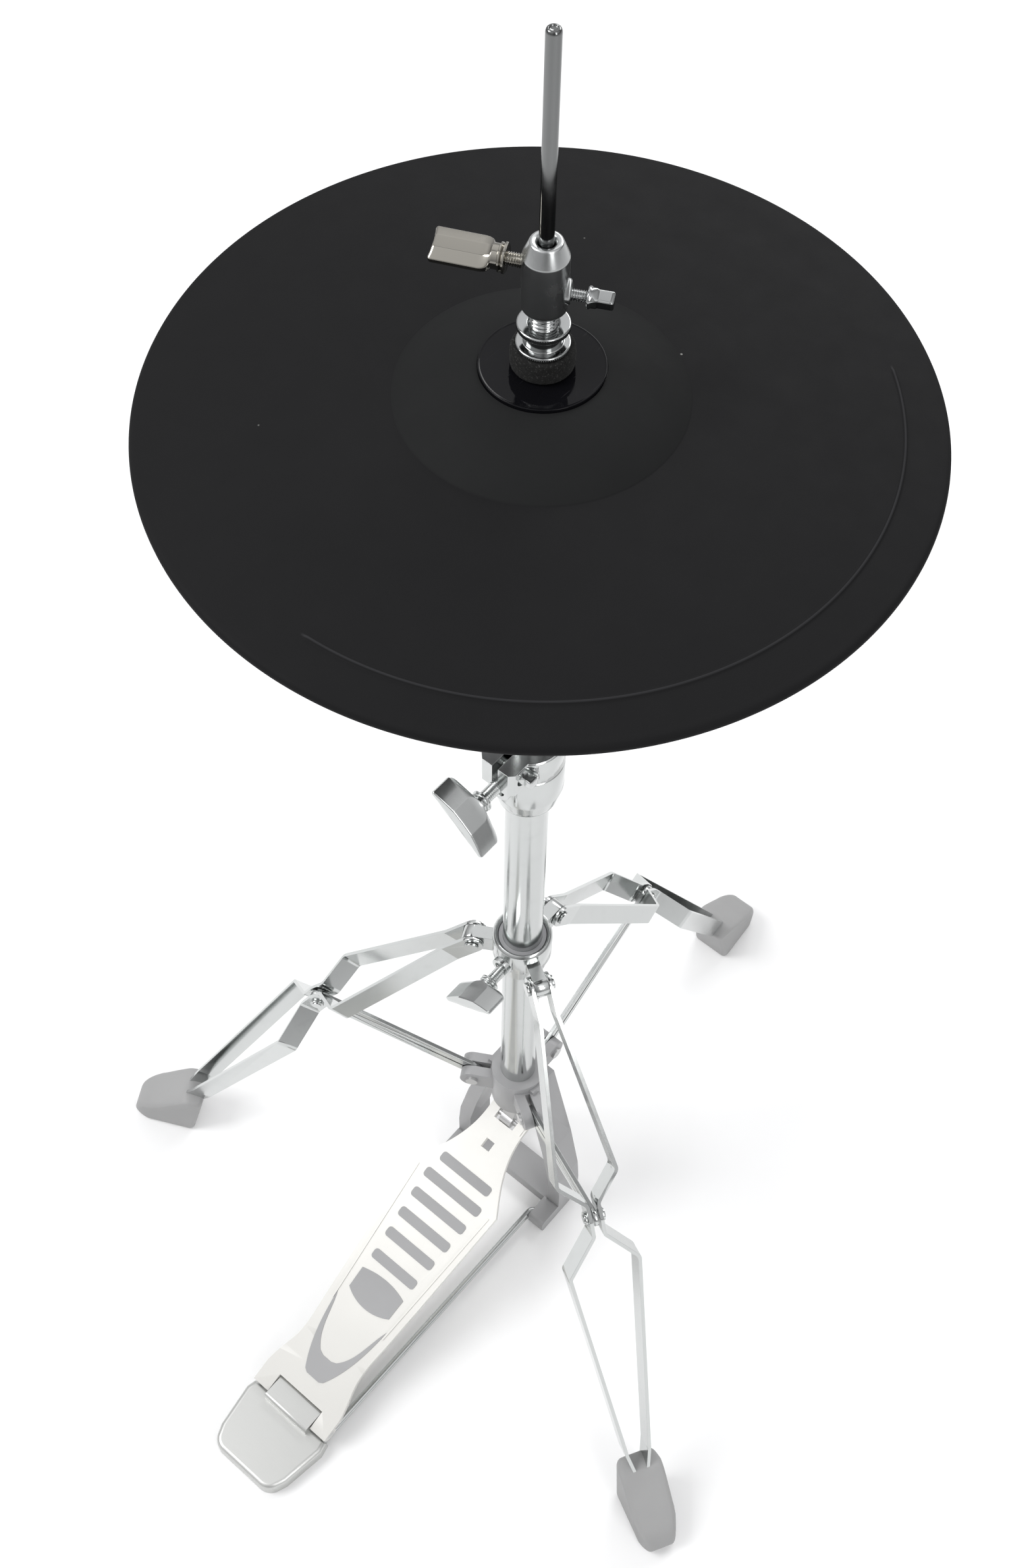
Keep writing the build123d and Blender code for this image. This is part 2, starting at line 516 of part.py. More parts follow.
def heel_block():
    """The rounded block nearest the heel, its lower side bowed."""
    top = Spline((-20.5, 109), (-5, 112.2), (11, 111.6), (20.5, 109))
    side = Line((20.5, 109), (20, 92))
    low = ThreePointArc((20, 92), (0, 86.2), (-20, 92))
    return make_face([top, side, low, Line((-20, 92), (-20.5, 109))])


def chevron():
    """The tapering U that closes the pattern towards the heel."""
    outer = Spline((-25, 84), (-22.6, 66), (-17.5, 44.6), (-9, 25.5))
    inner = Spline((25, 84), (19.6, 66), (14.3, 51), (8, 42.6))
    edges = [outer, Line(outer @ 1, (-6, 23.6)), Line((-6, 23.6), (6, 23.6)), Line((6, 23.6), (9, 25.5)),
             Spline((9, 25.5), (17.5, 44.6), (22.6, 66), (25, 84)), inner, Line(inner @ 1, (4, 41)),
             Line((4, 41), (-4, 41)), Line((-4, 41), (-8, 42.6)),
             Spline((-8, 42.6), (-14.3, 51), (-19.6, 66), (-25, 84))]
    return make_face(edges)


def grip_faces():
    faces = [slot_shape(half, s) for half, s in GRIP_SHAPES]
    return faces + [heel_block(), chevron()]


def pedal_parts():
    save("pedal_frame", pedal_frame() - radius_rod())
    save("radius_rod", radius_rod())
    edges = board_outline()
    ends = [Line((17.5, TOE_S), (0, TOE_S)), Line((0, TOE_S), (0, -5.5)), Line((0, -5.5), (36, -5.5))]
    half = make_face([*edges, *ends])
    plate = Pos(0, 0, BOARD_TOP - BOARD_T) * raised(half, BOARD_T)
    board = plate + mirror(plate, Plane.YZ)
    board -= block(-9, 9, TOE_S - 14, TOE_S + 2, -1, 9)
    board -= block(-3.8, 3.8, 234.5, 242.3, -1, 9)
    board -= block(-21.5, 21.5, -7, 9.5, -9, 9)
    knuckle = along_x(5.5, 21.5, 36)
    board += knuckle + mirror(knuckle, Plane.YZ)
    rib = block(24.6, 26, 78, 196, BOARD_TOP - 0.2, BOARD_TOP + 0.8)
    rib = rib.rotate(Axis((24.6, 78, 0), (0, 0, 1)), -4.6)
    board += rib + mirror(rib, Plane.YZ)
    for s in (-1, 1):
        inner, outer = min(9 * s, 16 * s), max(9 * s, 16 * s)
        board += block(inner, outer, TOE_PIN_S - 6, TOE_PIN_S + 6, -1, BOARD_TOP + 0.9)
    board -= along_x(PIN_R, -15, 15, y=TOE_PIN_S, z=TOE_PIN_LIFT)
    board -= along_x(3 + RUN_GAP, -50, 50)
    grips = []
    for face in grip_faces():
        pocket = Pos(0, 0, BOARD_TOP - 1.2) * raised(face, 5)
        board -= pocket
        grips.append(in_board(Pos(0, 0, BOARD_TOP - 1.2) * raised(face, 1.6)))
    save("footboard", in_board(board))
    save("footboard_grips", *grips)
    save("toe_pin", in_board(along_x(PIN_R, -15, 15, y=TOE_PIN_S, z=TOE_PIN_LIFT)))

    heel = prism([(-36, -259.5), (-38, -268), (-33, -300), (-27, -314), (27, -314), (33, -300), (38, -268),
                  (36, -259.5)], 14.5)
    heel = fillet(heel.edges().filter_by(Axis.Z).group_by(Axis.Y)[0], 12)
    heel = fillet(heel.edges().group_by(Axis.Z)[-1], 3.5)
    tongue = block(-20.8, 20.8, -266, PEDAL_AXIS[0] + 8, 10.5, 22.5)
    tongue = fillet(tongue.edges().filter_by(Axis.X).group_by(Axis.Z)[-1], 2.5)
    heel = heel + tongue - radius_rod() - along_x(3, -50, 50, y=PEDAL_AXIS[0], z=PEDAL_AXIS[1])
    clear = in_board(block(21, 40, -8, 12, -9, 9))
    heel = heel - clear - mirror(clear, Plane.YZ)
    save("heel_plate", heel)
    save("heel_pin", along_x(3, -36, 36, y=PEDAL_AXIS[0], z=PEDAL_AXIS[1]))


def toe_link():
    """The short strap from the toe pin up to the rod's fork."""
    slope = math.radians(PEDAL_SLOPE)
    y0 = PEDAL_AXIS[0] + TOE_PIN_S * math.cos(slope) - TOE_PIN_LIFT * math.sin(slope)
    z0 = PEDAL_AXIS[1] + TOE_PIN_S * math.sin(slope) + TOE_PIN_LIFT * math.cos(slope)
    lean = math.degrees(math.atan2(0 - y0, 148 - z0))
    length = math.hypot(y0, 148 - z0)
    strap = block(-5, 5, -3, 3, 0, length) + along_x(6, -5, 5) + along_x(6, -5, 5, z=length)
    strap -= along_x(PIN_R + RUN_GAP, -9, 9)
    strap -= along_x(PIN_R + 1.0, -9, 9, z=length)
    return Pos(0, y0, z0) * (Rot(-lean, 0, 0) * strap)


def brace_pins():
    r, z = BRACE_PIVOT
    pin = along_y(PIN_R, -9, 9, x=r, z=z) + along_y(4.4, -11, -9, x=r, z=z) + along_y(4.4, 9, 11, x=r, z=z)
    save("brace_pins", *[turned_out(a, pin) for a in LEG_AZIMUTHS.values()])


os.makedirs("parts", exist_ok=True)
pad_parts()
clutch_parts()
rod_parts()
controller_parts()
seat_parts()
memory_lock_parts()
height_clamp_parts()
hub_parts()
leg_parts()
pedal_parts()
brace_pins()
save("toe_link", toe_link())
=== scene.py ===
"""Looks of a hi-hat for an electronic drum kit, built around its packed working model."""

import json
import math

import bmesh
import bpy
import numpy as np
from mathutils import Matrix, Vector


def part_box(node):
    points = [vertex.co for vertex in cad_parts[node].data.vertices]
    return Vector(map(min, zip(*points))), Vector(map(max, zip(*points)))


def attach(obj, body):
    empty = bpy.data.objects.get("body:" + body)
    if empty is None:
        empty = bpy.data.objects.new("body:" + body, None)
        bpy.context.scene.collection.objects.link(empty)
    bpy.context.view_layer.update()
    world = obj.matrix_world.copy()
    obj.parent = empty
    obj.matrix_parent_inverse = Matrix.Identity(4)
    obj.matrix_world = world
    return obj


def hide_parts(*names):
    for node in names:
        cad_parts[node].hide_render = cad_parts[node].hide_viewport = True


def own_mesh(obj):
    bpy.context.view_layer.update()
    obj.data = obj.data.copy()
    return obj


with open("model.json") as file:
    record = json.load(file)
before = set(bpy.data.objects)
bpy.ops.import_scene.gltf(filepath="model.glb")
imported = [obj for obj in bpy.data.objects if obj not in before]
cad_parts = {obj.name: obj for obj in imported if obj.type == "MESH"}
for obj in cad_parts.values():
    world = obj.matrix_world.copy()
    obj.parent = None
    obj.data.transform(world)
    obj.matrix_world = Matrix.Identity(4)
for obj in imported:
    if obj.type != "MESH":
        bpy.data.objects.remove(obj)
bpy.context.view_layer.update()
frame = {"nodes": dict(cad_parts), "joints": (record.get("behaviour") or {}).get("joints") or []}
MM = 0.001
LEGS = {"left": 210.0, "rear": 90.0, "right": -30.0}
ROD_STROKE = next(-j["range_m"][0] for j in frame["joints"] if j["name"] == "rod_slide")
BEAD_START, BEAD_SPAN, BEAD_R = 272.7, 137.0, 157.2  # degrees, degrees and millimetres, as on the CAD solid
BELL_TOP, BELL_EDGE = (27.8, 888.6), (64.7, 873.2)  # (r, z) where the bell's arc starts and ends
WING_AZIMUTH, WING_Z = 205, 943.0  # the clutch's wing screw
KEY_AZIMUTH, KEY_Z = 27, 930.5  # the clutch's key screw
LENS_MM, SENSOR_MM = 43.79, 36.0
EYE = (0.3638, -0.4625, 1.4648)  # the camera's place, in metres, and the ways its right side and its lens point
EYE_RIGHT, EYE_AHEAD = (0.7654, 0.6434, 0.0139), (-0.3435, 0.4267, -0.8366)
SKY_STRENGTH = 0.95
# Brightness over the height of a direction, from straight down to straight up
SKY_HEIGHTS = [(0.0, 0.75), (0.5, 0.34), (0.56, 0.46), (0.72, 0.72), (0.86, 1.0), (1.0, 0.9)]
# Brightness over its azimuth: bright panels and dark gaps take turns, so that plated faces differ
SKY_PANELS = [(0.0, 0.95), (0.09, 0.35), (0.16, 1.25), (0.30, 0.9), (0.37, 0.35), (0.46, 1.25), (0.60, 0.8),
              (0.68, 0.3), (0.80, 1.2), (1.0, 0.95)]
LAMPS = (  # name, place, width and height in metres, and watts
    ("key_light", (-1.5, -1.3, 2.6), (1.2, 1.8), 46.0),
    ("fill_light", (2.1, -0.7, 1.9), (0.8, 1.8), 16.0),
    ("back_light", (-0.4, 2.3, 2.3), (2.2, 0.7), 26.0),
)

bl_info = {
    "name": "Hi-hat looks",
    "version": (1, 0, 0),
    "blender": (4, 5, 0),
    "location": "3D Viewport > Sidebar > Hi-hat",
    "description": "Builds the pad, clutch, stand and pedal finishes of an electronic hi-hat",
    "category": "Object",
}


# ---------------------------------------------------------------- surfaces
def net(points, round_u=False, round_v=False):
    """Quads between neighbours of an (n, m, 3) grid; round_u and round_v join the last row or column to the
    first."""
    n, m = points.shape[:2]
    i = np.arange(n if round_u else n - 1)[:, None]
    j = np.arange(m if round_v else m - 1)[None, :]
    i2, j2 = (i + 1) % n, (j + 1) % m
    faces = np.stack([i * m + j, i2 * m + j, i2 * m + j2, i * m + j2], -1)
    return points.reshape(-1, 3), faces.reshape(-1, 4)


def together(*shapes):
    """Several (points, faces) pairs as one, each one's faces moved on by the points before it."""
    points, faces, count = [], [], 0
    for p, f in shapes:
        points.append(p)
        faces.append(f + count)
        count += len(p)
    return np.concatenate(points), np.concatenate(faces)


def rounded(corners, reach, steps=5):
    """A closed outline whose corners are curves: at corner c, between the points a and b that lie reach
    before and after it, (1 - t)^2 a + 2 t (1 - t) c + t^2 b."""
    c = np.asarray(corners, float)
    reach = np.broadcast_to(np.asarray(reach, float), len(c))[:, None]
    back, on = np.roll(c, 1, 0) - c, np.roll(c, -1, 0) - c
    long_back, long_on = np.linalg.norm(back, axis=1)[:, None], np.linalg.norm(on, axis=1)[:, None]
    a = c + back / long_back * np.minimum(reach, 0.45 * long_back)
    b = c + on / long_on * np.minimum(reach, 0.45 * long_on)
    t = np.linspace(0, 1, steps)[None, :, None]
    curve = (1 - t) ** 2 * a[:, None] + 2 * t * (1 - t) * c[:, None] + t**2 * b[:, None]
    return curve.reshape(-1, 2)


def turned(profile, steps=160, swell=None):
    """A ring turned about Z: (r, z) goes to (r cos t, r sin t, z). swell(t, r, z) adds to r."""
    t = np.linspace(0, 2 * np.pi, steps, endpoint=False)[:, None]
    r, z = profile[None, :, 0], profile[None, :, 1]
    r = r + (swell(t, r, z) if swell else 0 * t)
    z = np.broadcast_to(z, r.shape)
    return net(np.stack([r * np.cos(t), r * np.sin(t), z], -1), True, True)


def smooth(x):
    """0 below 0, 1 above 1, and 3x^2 - 2x^3 between."""
    x = np.clip(x, 0, 1)
    return x * x * (3 - 2 * x)


def lofted(rings):
    """A closed skin over (n, m, 3) rings, each end drawn in to the middle of its ring."""
    first, last = rings[:1].mean(1, keepdims=True), rings[-1:].mean(1, keepdims=True)
    m = rings.shape[1]
    return net(np.concatenate([np.repeat(first, m, 1), rings, np.repeat(last, m, 1)]), False, True)


def thread(radius, depth, pitch, low, high, steps=40, bore=0.0):
    """A screw thread about Z: r = radius - depth w, where w runs from 0 at the crest to 1 at the root with
    the fraction of z / pitch - t / 2 pi. It dies away over half a turn at each end."""
    t = np.linspace(0, 2 * np.pi, steps, endpoint=False)[:, None]
    z = np.linspace(low, high, int((high - low) / pitch * 8) + 2)[None, :]
    wave = np.abs(2 * ((z / pitch - t / (2 * np.pi)) % 1) - 1)
    fade = smooth((z - low) / pitch * 2) * smooth((high - z) / pitch * 2)
    r = radius - depth * (smooth(1.15 * wave) * fade + (1 - fade))
    z = np.broadcast_to(z, r.shape)
    ends = np.full((steps, 1), 1.0)
    r = np.concatenate([ends * bore, r, ends * bore], 1)
    z = np.concatenate([ends * low, z, ends * high], 1)
    return net(np.stack([r * np.cos(t), r * np.sin(t), z], -1), True, bore > 0)


def power_ring(half_x, half_y, power, angle):
    """Points of |x / half_x|^(2 / power) + |y / half_y|^(2 / power) = 1 at each angle."""
    c, s = np.cos(angle), np.sin(angle)
    return half_x * np.sign(c) * np.abs(c) ** power, half_y * np.sign(s) * np.abs(s) ** power


def wing(start, hub_r, hub, blade, span, thick, edge, bow):
    """A flange, a round hub and a two-sided wing about Z. The wing's ring is a long eight-sided outline,
    thick over the middle and thin at its two edges; the hub's is a circle, and over the throat each point
    moves from one to the other. The tip is hollowed by bow (1 - (x / half span)^2) and its rim is a
    quarter-round."""
    neck, tip, half, rim = start + hub, start + hub + blade, span / 2, 1.2
    flange = [(start + s, hub_r + r) for s, r in (
        (0, 0.6), (0.3, 1.1), (1.1, 1.1), (1.5, 0.5), (1.8, 0.3), (2.2, 0.8), (2.9, 0.8), (3.3, 0))]
    crest = 0.36 * half
    corners = [(half, -edge / 2), (half, edge / 2), (crest, thick / 2), (-crest, thick / 2),
               (-half, edge / 2), (-half, -edge / 2), (-crest, -thick / 2), (crest, -thick / 2)]
    outline = rounded(corners, [0.5, 0.5, 0.35, 0.35] * 2, 5)
    between = (outline + np.roll(outline, -1, 0)) / 2
    outline = np.stack([outline, between], 1).reshape(-1, 2)
    angle = np.arctan2(outline[:, 1] / thick, outline[:, 0] / span)
    circle = np.stack([np.cos(angle), np.sin(angle)], -1)
    s = np.concatenate([[p[0] for p in flange], np.linspace(start + 4, neck - 4, 4),
                        np.linspace(neck - 3.6, neck + 2.4, 16), np.linspace(neck + 3, tip - 1.4, 12),
                        tip - rim * (1 - np.sin(np.linspace(0.1, 1, 6) * np.pi / 2))])
    base = np.full(s.shape, float(hub_r))
    base[: len(flange)] = [p[1] for p in flange]
    throat = np.clip((neck + 1.2 - s) / 4.6, 0, 1)
    grow = (np.sqrt(1 - throat**2) * (s > neck - 3.5))[:, None, None]
    round_off = rim - rim * np.sqrt(1 - np.clip((s - tip + rim) / rim, 0, 1) ** 2)
    shrink = 1 - round_off[:, None, None] / np.array([half, thick / 2]) * np.array([1, 0.45])
    ring = (1 - grow) * base[:, None, None] * circle + grow * outline * shrink
    z = s[:, None] - bow * (1 - (outline[:, 0] / half) ** 2) * smooth((s[:, None] - neck - 2) / (blade - 2))
    return lofted(np.concatenate([ring, z[..., None]], -1))


def coil(r, wire_r, low, high, turns):
    """A compression spring about Z, its first and last turns closed: the wire's circle about the point
    (r cos t, r sin t, z), one axis pointing outwards and the other up."""
    turn, tall = np.linspace(0, turns, int(turns * 36) + 1), high - low
    rise = np.interp(turn, [0, 1, turns - 1, turns], [wire_r, 3 * wire_r, tall - 3 * wire_r, tall - wire_r])
    t, s = 2 * np.pi * turn[:, None], np.linspace(0, 2 * np.pi, 12, endpoint=False)[None, :]
    out = r + wire_r * np.cos(s)
    return lofted(np.stack([out * np.cos(t), out * np.sin(t), low + rise[:, None] + wire_r * np.sin(s)], -1))


def key_head(start, flange_r, square, length):
    """A turned collar that runs into a square drive head about Z: the ring's power goes from a circle's 1 to
    0.25."""
    s = np.array([0, 0.3, 1.0, 1.4, 1.9, 2.6, 3.4, 4.2, *np.linspace(5, length - 0.7, 6),
                  length - 0.4, length - 0.12, length])
    half = square / 2
    wide = np.interp(s, [0, 0.3, 1.0, 1.4, 2.6, 4.2, length - 0.7, length - 0.12, length],
                     [flange_r - 0.3, flange_r, flange_r, flange_r - 0.4, half + 0.7, half, half, half - 0.35,
                      half - 0.8])
    power = 1 - 0.75 * smooth((s - 1.2) / 2.6)
    angle = np.linspace(0, 2 * np.pi, 64, endpoint=False)[None, :]
    x, y = power_ring(wide[:, None], wide[:, None], power[:, None], angle)
    return lofted(np.stack([x, y, np.broadcast_to(start + s[:, None], x.shape)], -1))


def heading(azimuth):
    """The level unit vector at an azimuth in degrees."""
    return np.array([math.cos(math.radians(azimuth)), math.sin(math.radians(azimuth)), 0])


def outwards(shape, azimuth, start, roll=0.0):
    """Lays a shape built about Z along the outward direction at azimuth: (x, y, z), rolled, goes to start + x
    across + y up + z outwards."""
    points, faces = shape
    w = math.radians(roll)
    out, across, up = heading(azimuth), heading(azimuth + 90), np.array([0, 0, 1.0])
    x = points[:, :1] * math.cos(w) - points[:, 1:2] * math.sin(w)
    y = points[:, :1] * math.sin(w) + points[:, 1:2] * math.cos(w)
    return np.asarray(start, float) + x * across + y * up + points[:, 2:] * out, faces


# ---------------------------------------------------------------- finishes
class Wire:
    """A shader socket that takes Python's arithmetic, each step a Math node."""

    def __init__(self, finish, socket):
        self.finish, self.socket = finish, socket

    def step(self, operation, a, b=0.0):
        return self.finish.node("ShaderNodeMath", {"operation": operation}, {0: a, 1: b})

    def __add__(self, other):
        return self.step("ADD", self, other)

    def __sub__(self, other):
        return self.step("SUBTRACT", self, other)

    def __rsub__(self, other):
        return self.step("SUBTRACT", other, self)

    def __mul__(self, other):
        return self.step("MULTIPLY", self, other)

    def __truediv__(self, other):
        return self.step("DIVIDE", self, other)

    def __gt__(self, other):
        return self.step("GREATER_THAN", self, other)

    def __pow__(self, other):
        return self.step("POWER", self, other)

    __radd__ = __add__


class Finish:
    """One material and its nodes."""

    def __init__(self, name):
        self.material = bpy.data.materials.new(name)
        self.material.use_nodes = True
        self.tree = self.material.node_tree
        self.tree.nodes.clear()
        self.place = self.node("ShaderNodeTexCoord", out="Object")
        parts = self.tree.nodes.new("ShaderNodeSeparateXYZ")
        self.tree.links.new(self.place.socket, parts.inputs[0])
        self.x, self.y, self.z = (Wire(self, s) for s in parts.outputs)

    def node(self, kind, settings=None, values=None, out=0):
        made = self.tree.nodes.new(kind)
        for key, value in (settings or {}).items():
            setattr(made, key, value)
        for key, value in (values or {}).items():
            if isinstance(value, Wire):
                self.tree.links.new(value.socket, made.inputs[key])
            else:
                made.inputs[key].default_value = value
        return Wire(self, made.outputs[out])

    def noise(self, scale, detail=3.0, rough=0.55, stretch=(1, 1, 1), off=(0, 0, 0)):
        """Noise of scale cells in a metre, from 0 to 1."""
        moved = {"Vector": self.place, "Scale": stretch, "Location": off}
        place = self.node("ShaderNodeMapping", None, moved)
        return self.node("ShaderNodeTexNoise", None,
                         {"Vector": place, "Scale": scale, "Detail": detail, "Roughness": rough})

    def between(self, value, low, high):
        """0 below low, 1 above high, and smooth between."""
        settings = {"interpolation_type": "SMOOTHSTEP"}
        return self.node("ShaderNodeMapRange", settings, {0: value, 1: low, 2: high})

    def cells(self, scale, out=0):
        """Distance to the nearest of scattered points, scale of them to a metre; with out "Color", a colour that
        each point has for itself."""
        values = {"Vector": self.place, "Scale": scale}
        return self.node("ShaderNodeTexVoronoi", {"feature": "F1"}, values, out)

    def blend(self, share, a, b):
        """The colour a where share is 0, and b where it is 1."""
        a, b = (c if isinstance(c, Wire) else (*c, 1) for c in (a, b))
        return self.node("ShaderNodeMix", {"data_type": "RGBA"}, {0: share, 6: a, 7: b}, 2)

    def relief(self, height, distance, strength=1.0, under=None):
        values = {"Height": height, "Distance": distance, "Strength": strength}
        if under is not None:
            values["Normal"] = under
        return self.node("ShaderNodeBump", None, values)

    def surface(self, **values):
        """The Principled shader with these sockets, underscores standing for spaces."""
        values = {k.replace("_", " ").title().replace("Ior", "IOR"): v for k, v in values.items()}
        if isinstance(values.get("Base Color"), tuple):
            values["Base Color"] = (*values["Base Color"], 1)
        shader = self.node("ShaderNodeBsdfPrincipled", None, values)
        out = self.tree.nodes.new("ShaderNodeOutputMaterial")
        self.tree.links.new(shader.socket, out.inputs["Surface"])
        return self.material


def plated(name, colour, gloss=0.08, ripple=0.00004):
    """Chrome plate: a mirror with faint cloudy wear in its gloss, fine rubbing marks and a slow ripple."""
    f = Finish(name)
    cloud = f.noise(35, 4)
    marks = f.noise(260, 2, stretch=(1, 1, 0.12))
    grime = f.between(f.noise(90, 5), 0.52, 0.8)
    tone = f.blend(grime * 0.2, colour, tuple(c * 0.78 for c in colour))
    rough = gloss + cloud * 0.06 + marks * 0.05 + grime * 0.04
    ripples = f.relief(f.noise(45, 1), ripple, 0.6)
    return f.surface(base_color=tone, metallic=1.0, roughness=rough, normal=ripples)


def pad_rubber(name, colour, lit_bell_colour, bell_r):
    """Matte moulded rubber: a fine grain, slow patches, a bell painted paler as painted light on its dome, a
    painted highlight along the bead, and a few dust specks."""
    f = Finish(name)
    radius = (f.x * f.x + f.y * f.y) ** 0.5
    middle, half = math.radians(BEAD_START + BEAD_SPAN / 2), math.radians(BEAD_SPAN / 2)
    ahead = (f.x * math.cos(middle) + f.y * math.sin(middle)) / radius
    away = ((radius - BEAD_R * MM) * (radius - BEAD_R * MM)) ** 0.5
    # Painted highlight: the thin line along the bead, between its two end angles, is painted 3.2 times lighter
    # than the rubber.
    bead_highlight = f.between(ahead, math.cos(half + 0.01), math.cos(half - 0.01))
    bead_highlight = bead_highlight * (1 - f.between(away, 0.00025, 0.0007))
    bell = 1 - f.between(radius, (bell_r - 0.6) * MM, (bell_r + 0.5) * MM)
    patch = f.noise(9, 4)
    grain = f.noise(1500, 2)
    # Painted light: the bell is painted paler than the bow, standing in for the light its dome catches.
    tone = f.blend(bell, colour, lit_bell_colour)
    tone = f.blend(patch * 0.45, tone, tuple(c * 0.7 for c in colour))
    speck = f.cells(62.0)
    chosen = f.node("ShaderNodeSeparateColor", None, {0: f.cells(62.0, "Color")}) > 0.93
    tone = f.blend(bead_highlight * 0.8, tone, tuple(c * 3.2 for c in colour))
    dust = chosen * (1 - f.between(speck, 0.018, 0.045)) * 0.5
    tone = f.blend(dust, tone, (0.45, 0.45, 0.43))
    rough = 0.62 + f.noise(60, 5) * 0.14 + bell * 0.04
    bump = f.relief(grain, 0.00007, 0.55, f.relief(f.noise(220, 3), 0.00006, 0.35))
    return f.surface(base_color=tone, roughness=rough, normal=bump, specular_ior_level=0.11)


def polished_black(name, colour):
    """Polished black plastic with smudges and hair-fine scratches."""
    f = Finish(name)
    smudge = f.between(f.noise(120, 6), 0.5, 0.85)
    scratch = f.between(f.noise(900, 1, stretch=(1, 0.06, 1)), 0.68, 0.74)
    rough = 0.06 + smudge * 0.16 + scratch * 0.12
    tone = f.blend(scratch * 0.15, colour, (0.03, 0.03, 0.032))
    return f.surface(base_color=tone, roughness=rough, specular_ior_level=0.14,
                     normal=f.relief(scratch, 0.00002, 0.4))


def felt_cloth(name, colour):
    """Pressed felt: matted fibres, lighter hairs and dark pores."""
    f = Finish(name)
    fibre = f.noise(1400, 6, 0.7, (1, 1, 0.45))
    pore = f.noise(700, 3, off=(0.3, 0.1, 0))
    hair = f.between(f.noise(1500, 3, 0.65, (0.6, 1, 1)), 0.56, 0.68)
    tone = f.blend(pore, tuple(c * 0.35 for c in colour), tuple(c * 1.7 for c in colour))
    tone = f.blend(hair * 0.7, tone, tuple(min(1, c * 8.0) for c in colour))
    return f.surface(base_color=tone, roughness=0.95, specular_ior_level=0.2, sheen_weight=0.03,
                     sheen_roughness=0.6, normal=f.relief(fibre + pore, 0.0006, 0.8))


def moulded(name, colour, rough=0.5, grain=700.0, depth=0.00005):
    """Moulded plastic or rubber: sparked grain, slow shade changes, and paler scuffs."""
    f = Finish(name)
    patch = f.noise(18, 4)
    scuff = f.between(f.noise(150, 6, 0.7), 0.62, 0.82)
    tone = f.blend(patch, tuple(c * 0.88 for c in colour), tuple(min(1, c * 1.1) for c in colour))
    tone = f.blend(scuff * 0.22, tone, tuple(min(1, c * 1.25 + 0.03) for c in colour))
    grains = f.relief(f.noise(grain, 2), depth, 0.6)
    return f.surface(base_color=tone, roughness=rough + patch * 0.1 + scuff * 0.1 - 0.05, normal=grains)


def painted(name, colour, far_colour=None, rough=0.38):
    """Paint on a casting: orange peel, faint specks, and a tone that may change along the footboard."""
    f = Finish(name)
    tone = colour if far_colour is None else f.blend(f.between(f.y, -0.26, -0.06), colour, far_colour)
    patch = f.noise(24, 4)
    dark = tuple(c * 0.86 for c in colour)
    tone = f.blend(patch * 0.3, tone, dark)
    speck = f.between(f.noise(1100, 1), 0.74, 0.8)
    tone = f.blend(speck * 0.18, tone, tuple(c * 0.6 for c in colour))
    peel = f.relief(f.noise(420, 2), 0.00004, 0.5, f.relief(f.noise(60, 2), 0.00012, 0.3))
    return f.surface(base_color=tone, roughness=rough + patch * 0.1, coat_weight=0.15, coat_roughness=0.2,
                     normal=peel)


def brushed(name, colour, gloss=0.28):
    """Satin metal: fine lines along X and a soft change of tone."""
    f = Finish(name)
    lines = f.noise(900, 3, 0.6, (0.05, 1, 1))
    patch = f.noise(20, 3)
    tone = f.blend(patch * 0.5 + lines * 0.2, colour, tuple(c * 0.85 for c in colour))
    return f.surface(base_color=tone, metallic=0.85, roughness=gloss + lines * 0.14 + patch * 0.06,
                     normal=f.relief(lines, 0.00002, 0.35))


def board_print(name):
    """A circuit board's mask with pale solder lands."""
    f = Finish(name)
    land = 1 - f.between(f.cells(420.0), 0.2, 0.26)
    tone = f.blend(land, (0.02, 0.12, 0.05), (0.6, 0.6, 0.56))
    return f.surface(base_color=tone, roughness=0.35 + f.noise(200, 2) * 0.1, metallic=land * 0.8)


# ---------------------------------------------------------------- pieces
def piece(name, shape, material, body, nodes, sharp=32.0):
    """Puts a shape in millimetres into a mesh, closes its seams and poles, and stands it in for CAD nodes."""
    points, faces = shape
    mesh = bpy.data.meshes.new(name)
    mesh.from_pydata((points * MM).tolist(), [], faces.tolist())
    work = bmesh.new()
    work.from_mesh(mesh)
    bmesh.ops.remove_doubles(work, verts=work.verts, dist=2e-7)
    bmesh.ops.recalc_face_normals(work, faces=work.faces)
    work.to_mesh(mesh)
    work.free()
    mesh.shade_smooth()
    mesh.set_sharp_from_angle(angle=math.radians(sharp))
    made = bpy.data.objects.new(name, mesh)
    bpy.context.scene.collection.objects.link(made)
    mesh.materials.append(material)
    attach(made, body)
    if nodes:
        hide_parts(*nodes)
    return made


def dress(names, material, edge=0.0, angle=32.0):
    """Gives CAD nodes a finish; edge, in millimetres, also rounds their corners."""
    for name in names:
        node = frame["nodes"][name]
        node.data.materials.clear()
        node.data.materials.append(material)
        if not edge:
            continue
        weld = node.modifiers.new("close", "WELD")
        weld.merge_threshold = 2e-6
        bevel = node.modifiers.new("edges", "BEVEL")
        bevel.width, bevel.segments = edge * MM, 2
        bevel.limit_method, bevel.angle_limit = "ANGLE", math.radians(angle)
        bevel.harden_normals = True
        bevel.use_clamp_overlap = True


def length(name, description, default, low=0.0):
    return bpy.props.FloatProperty(name=name, description=description, default=default, min=low,
                                   unit="LENGTH")


def tint(name, description, default):
    return bpy.props.FloatVectorProperty(name=name, description=description, subtype="COLOR", default=default,
                                         min=0, max=1)


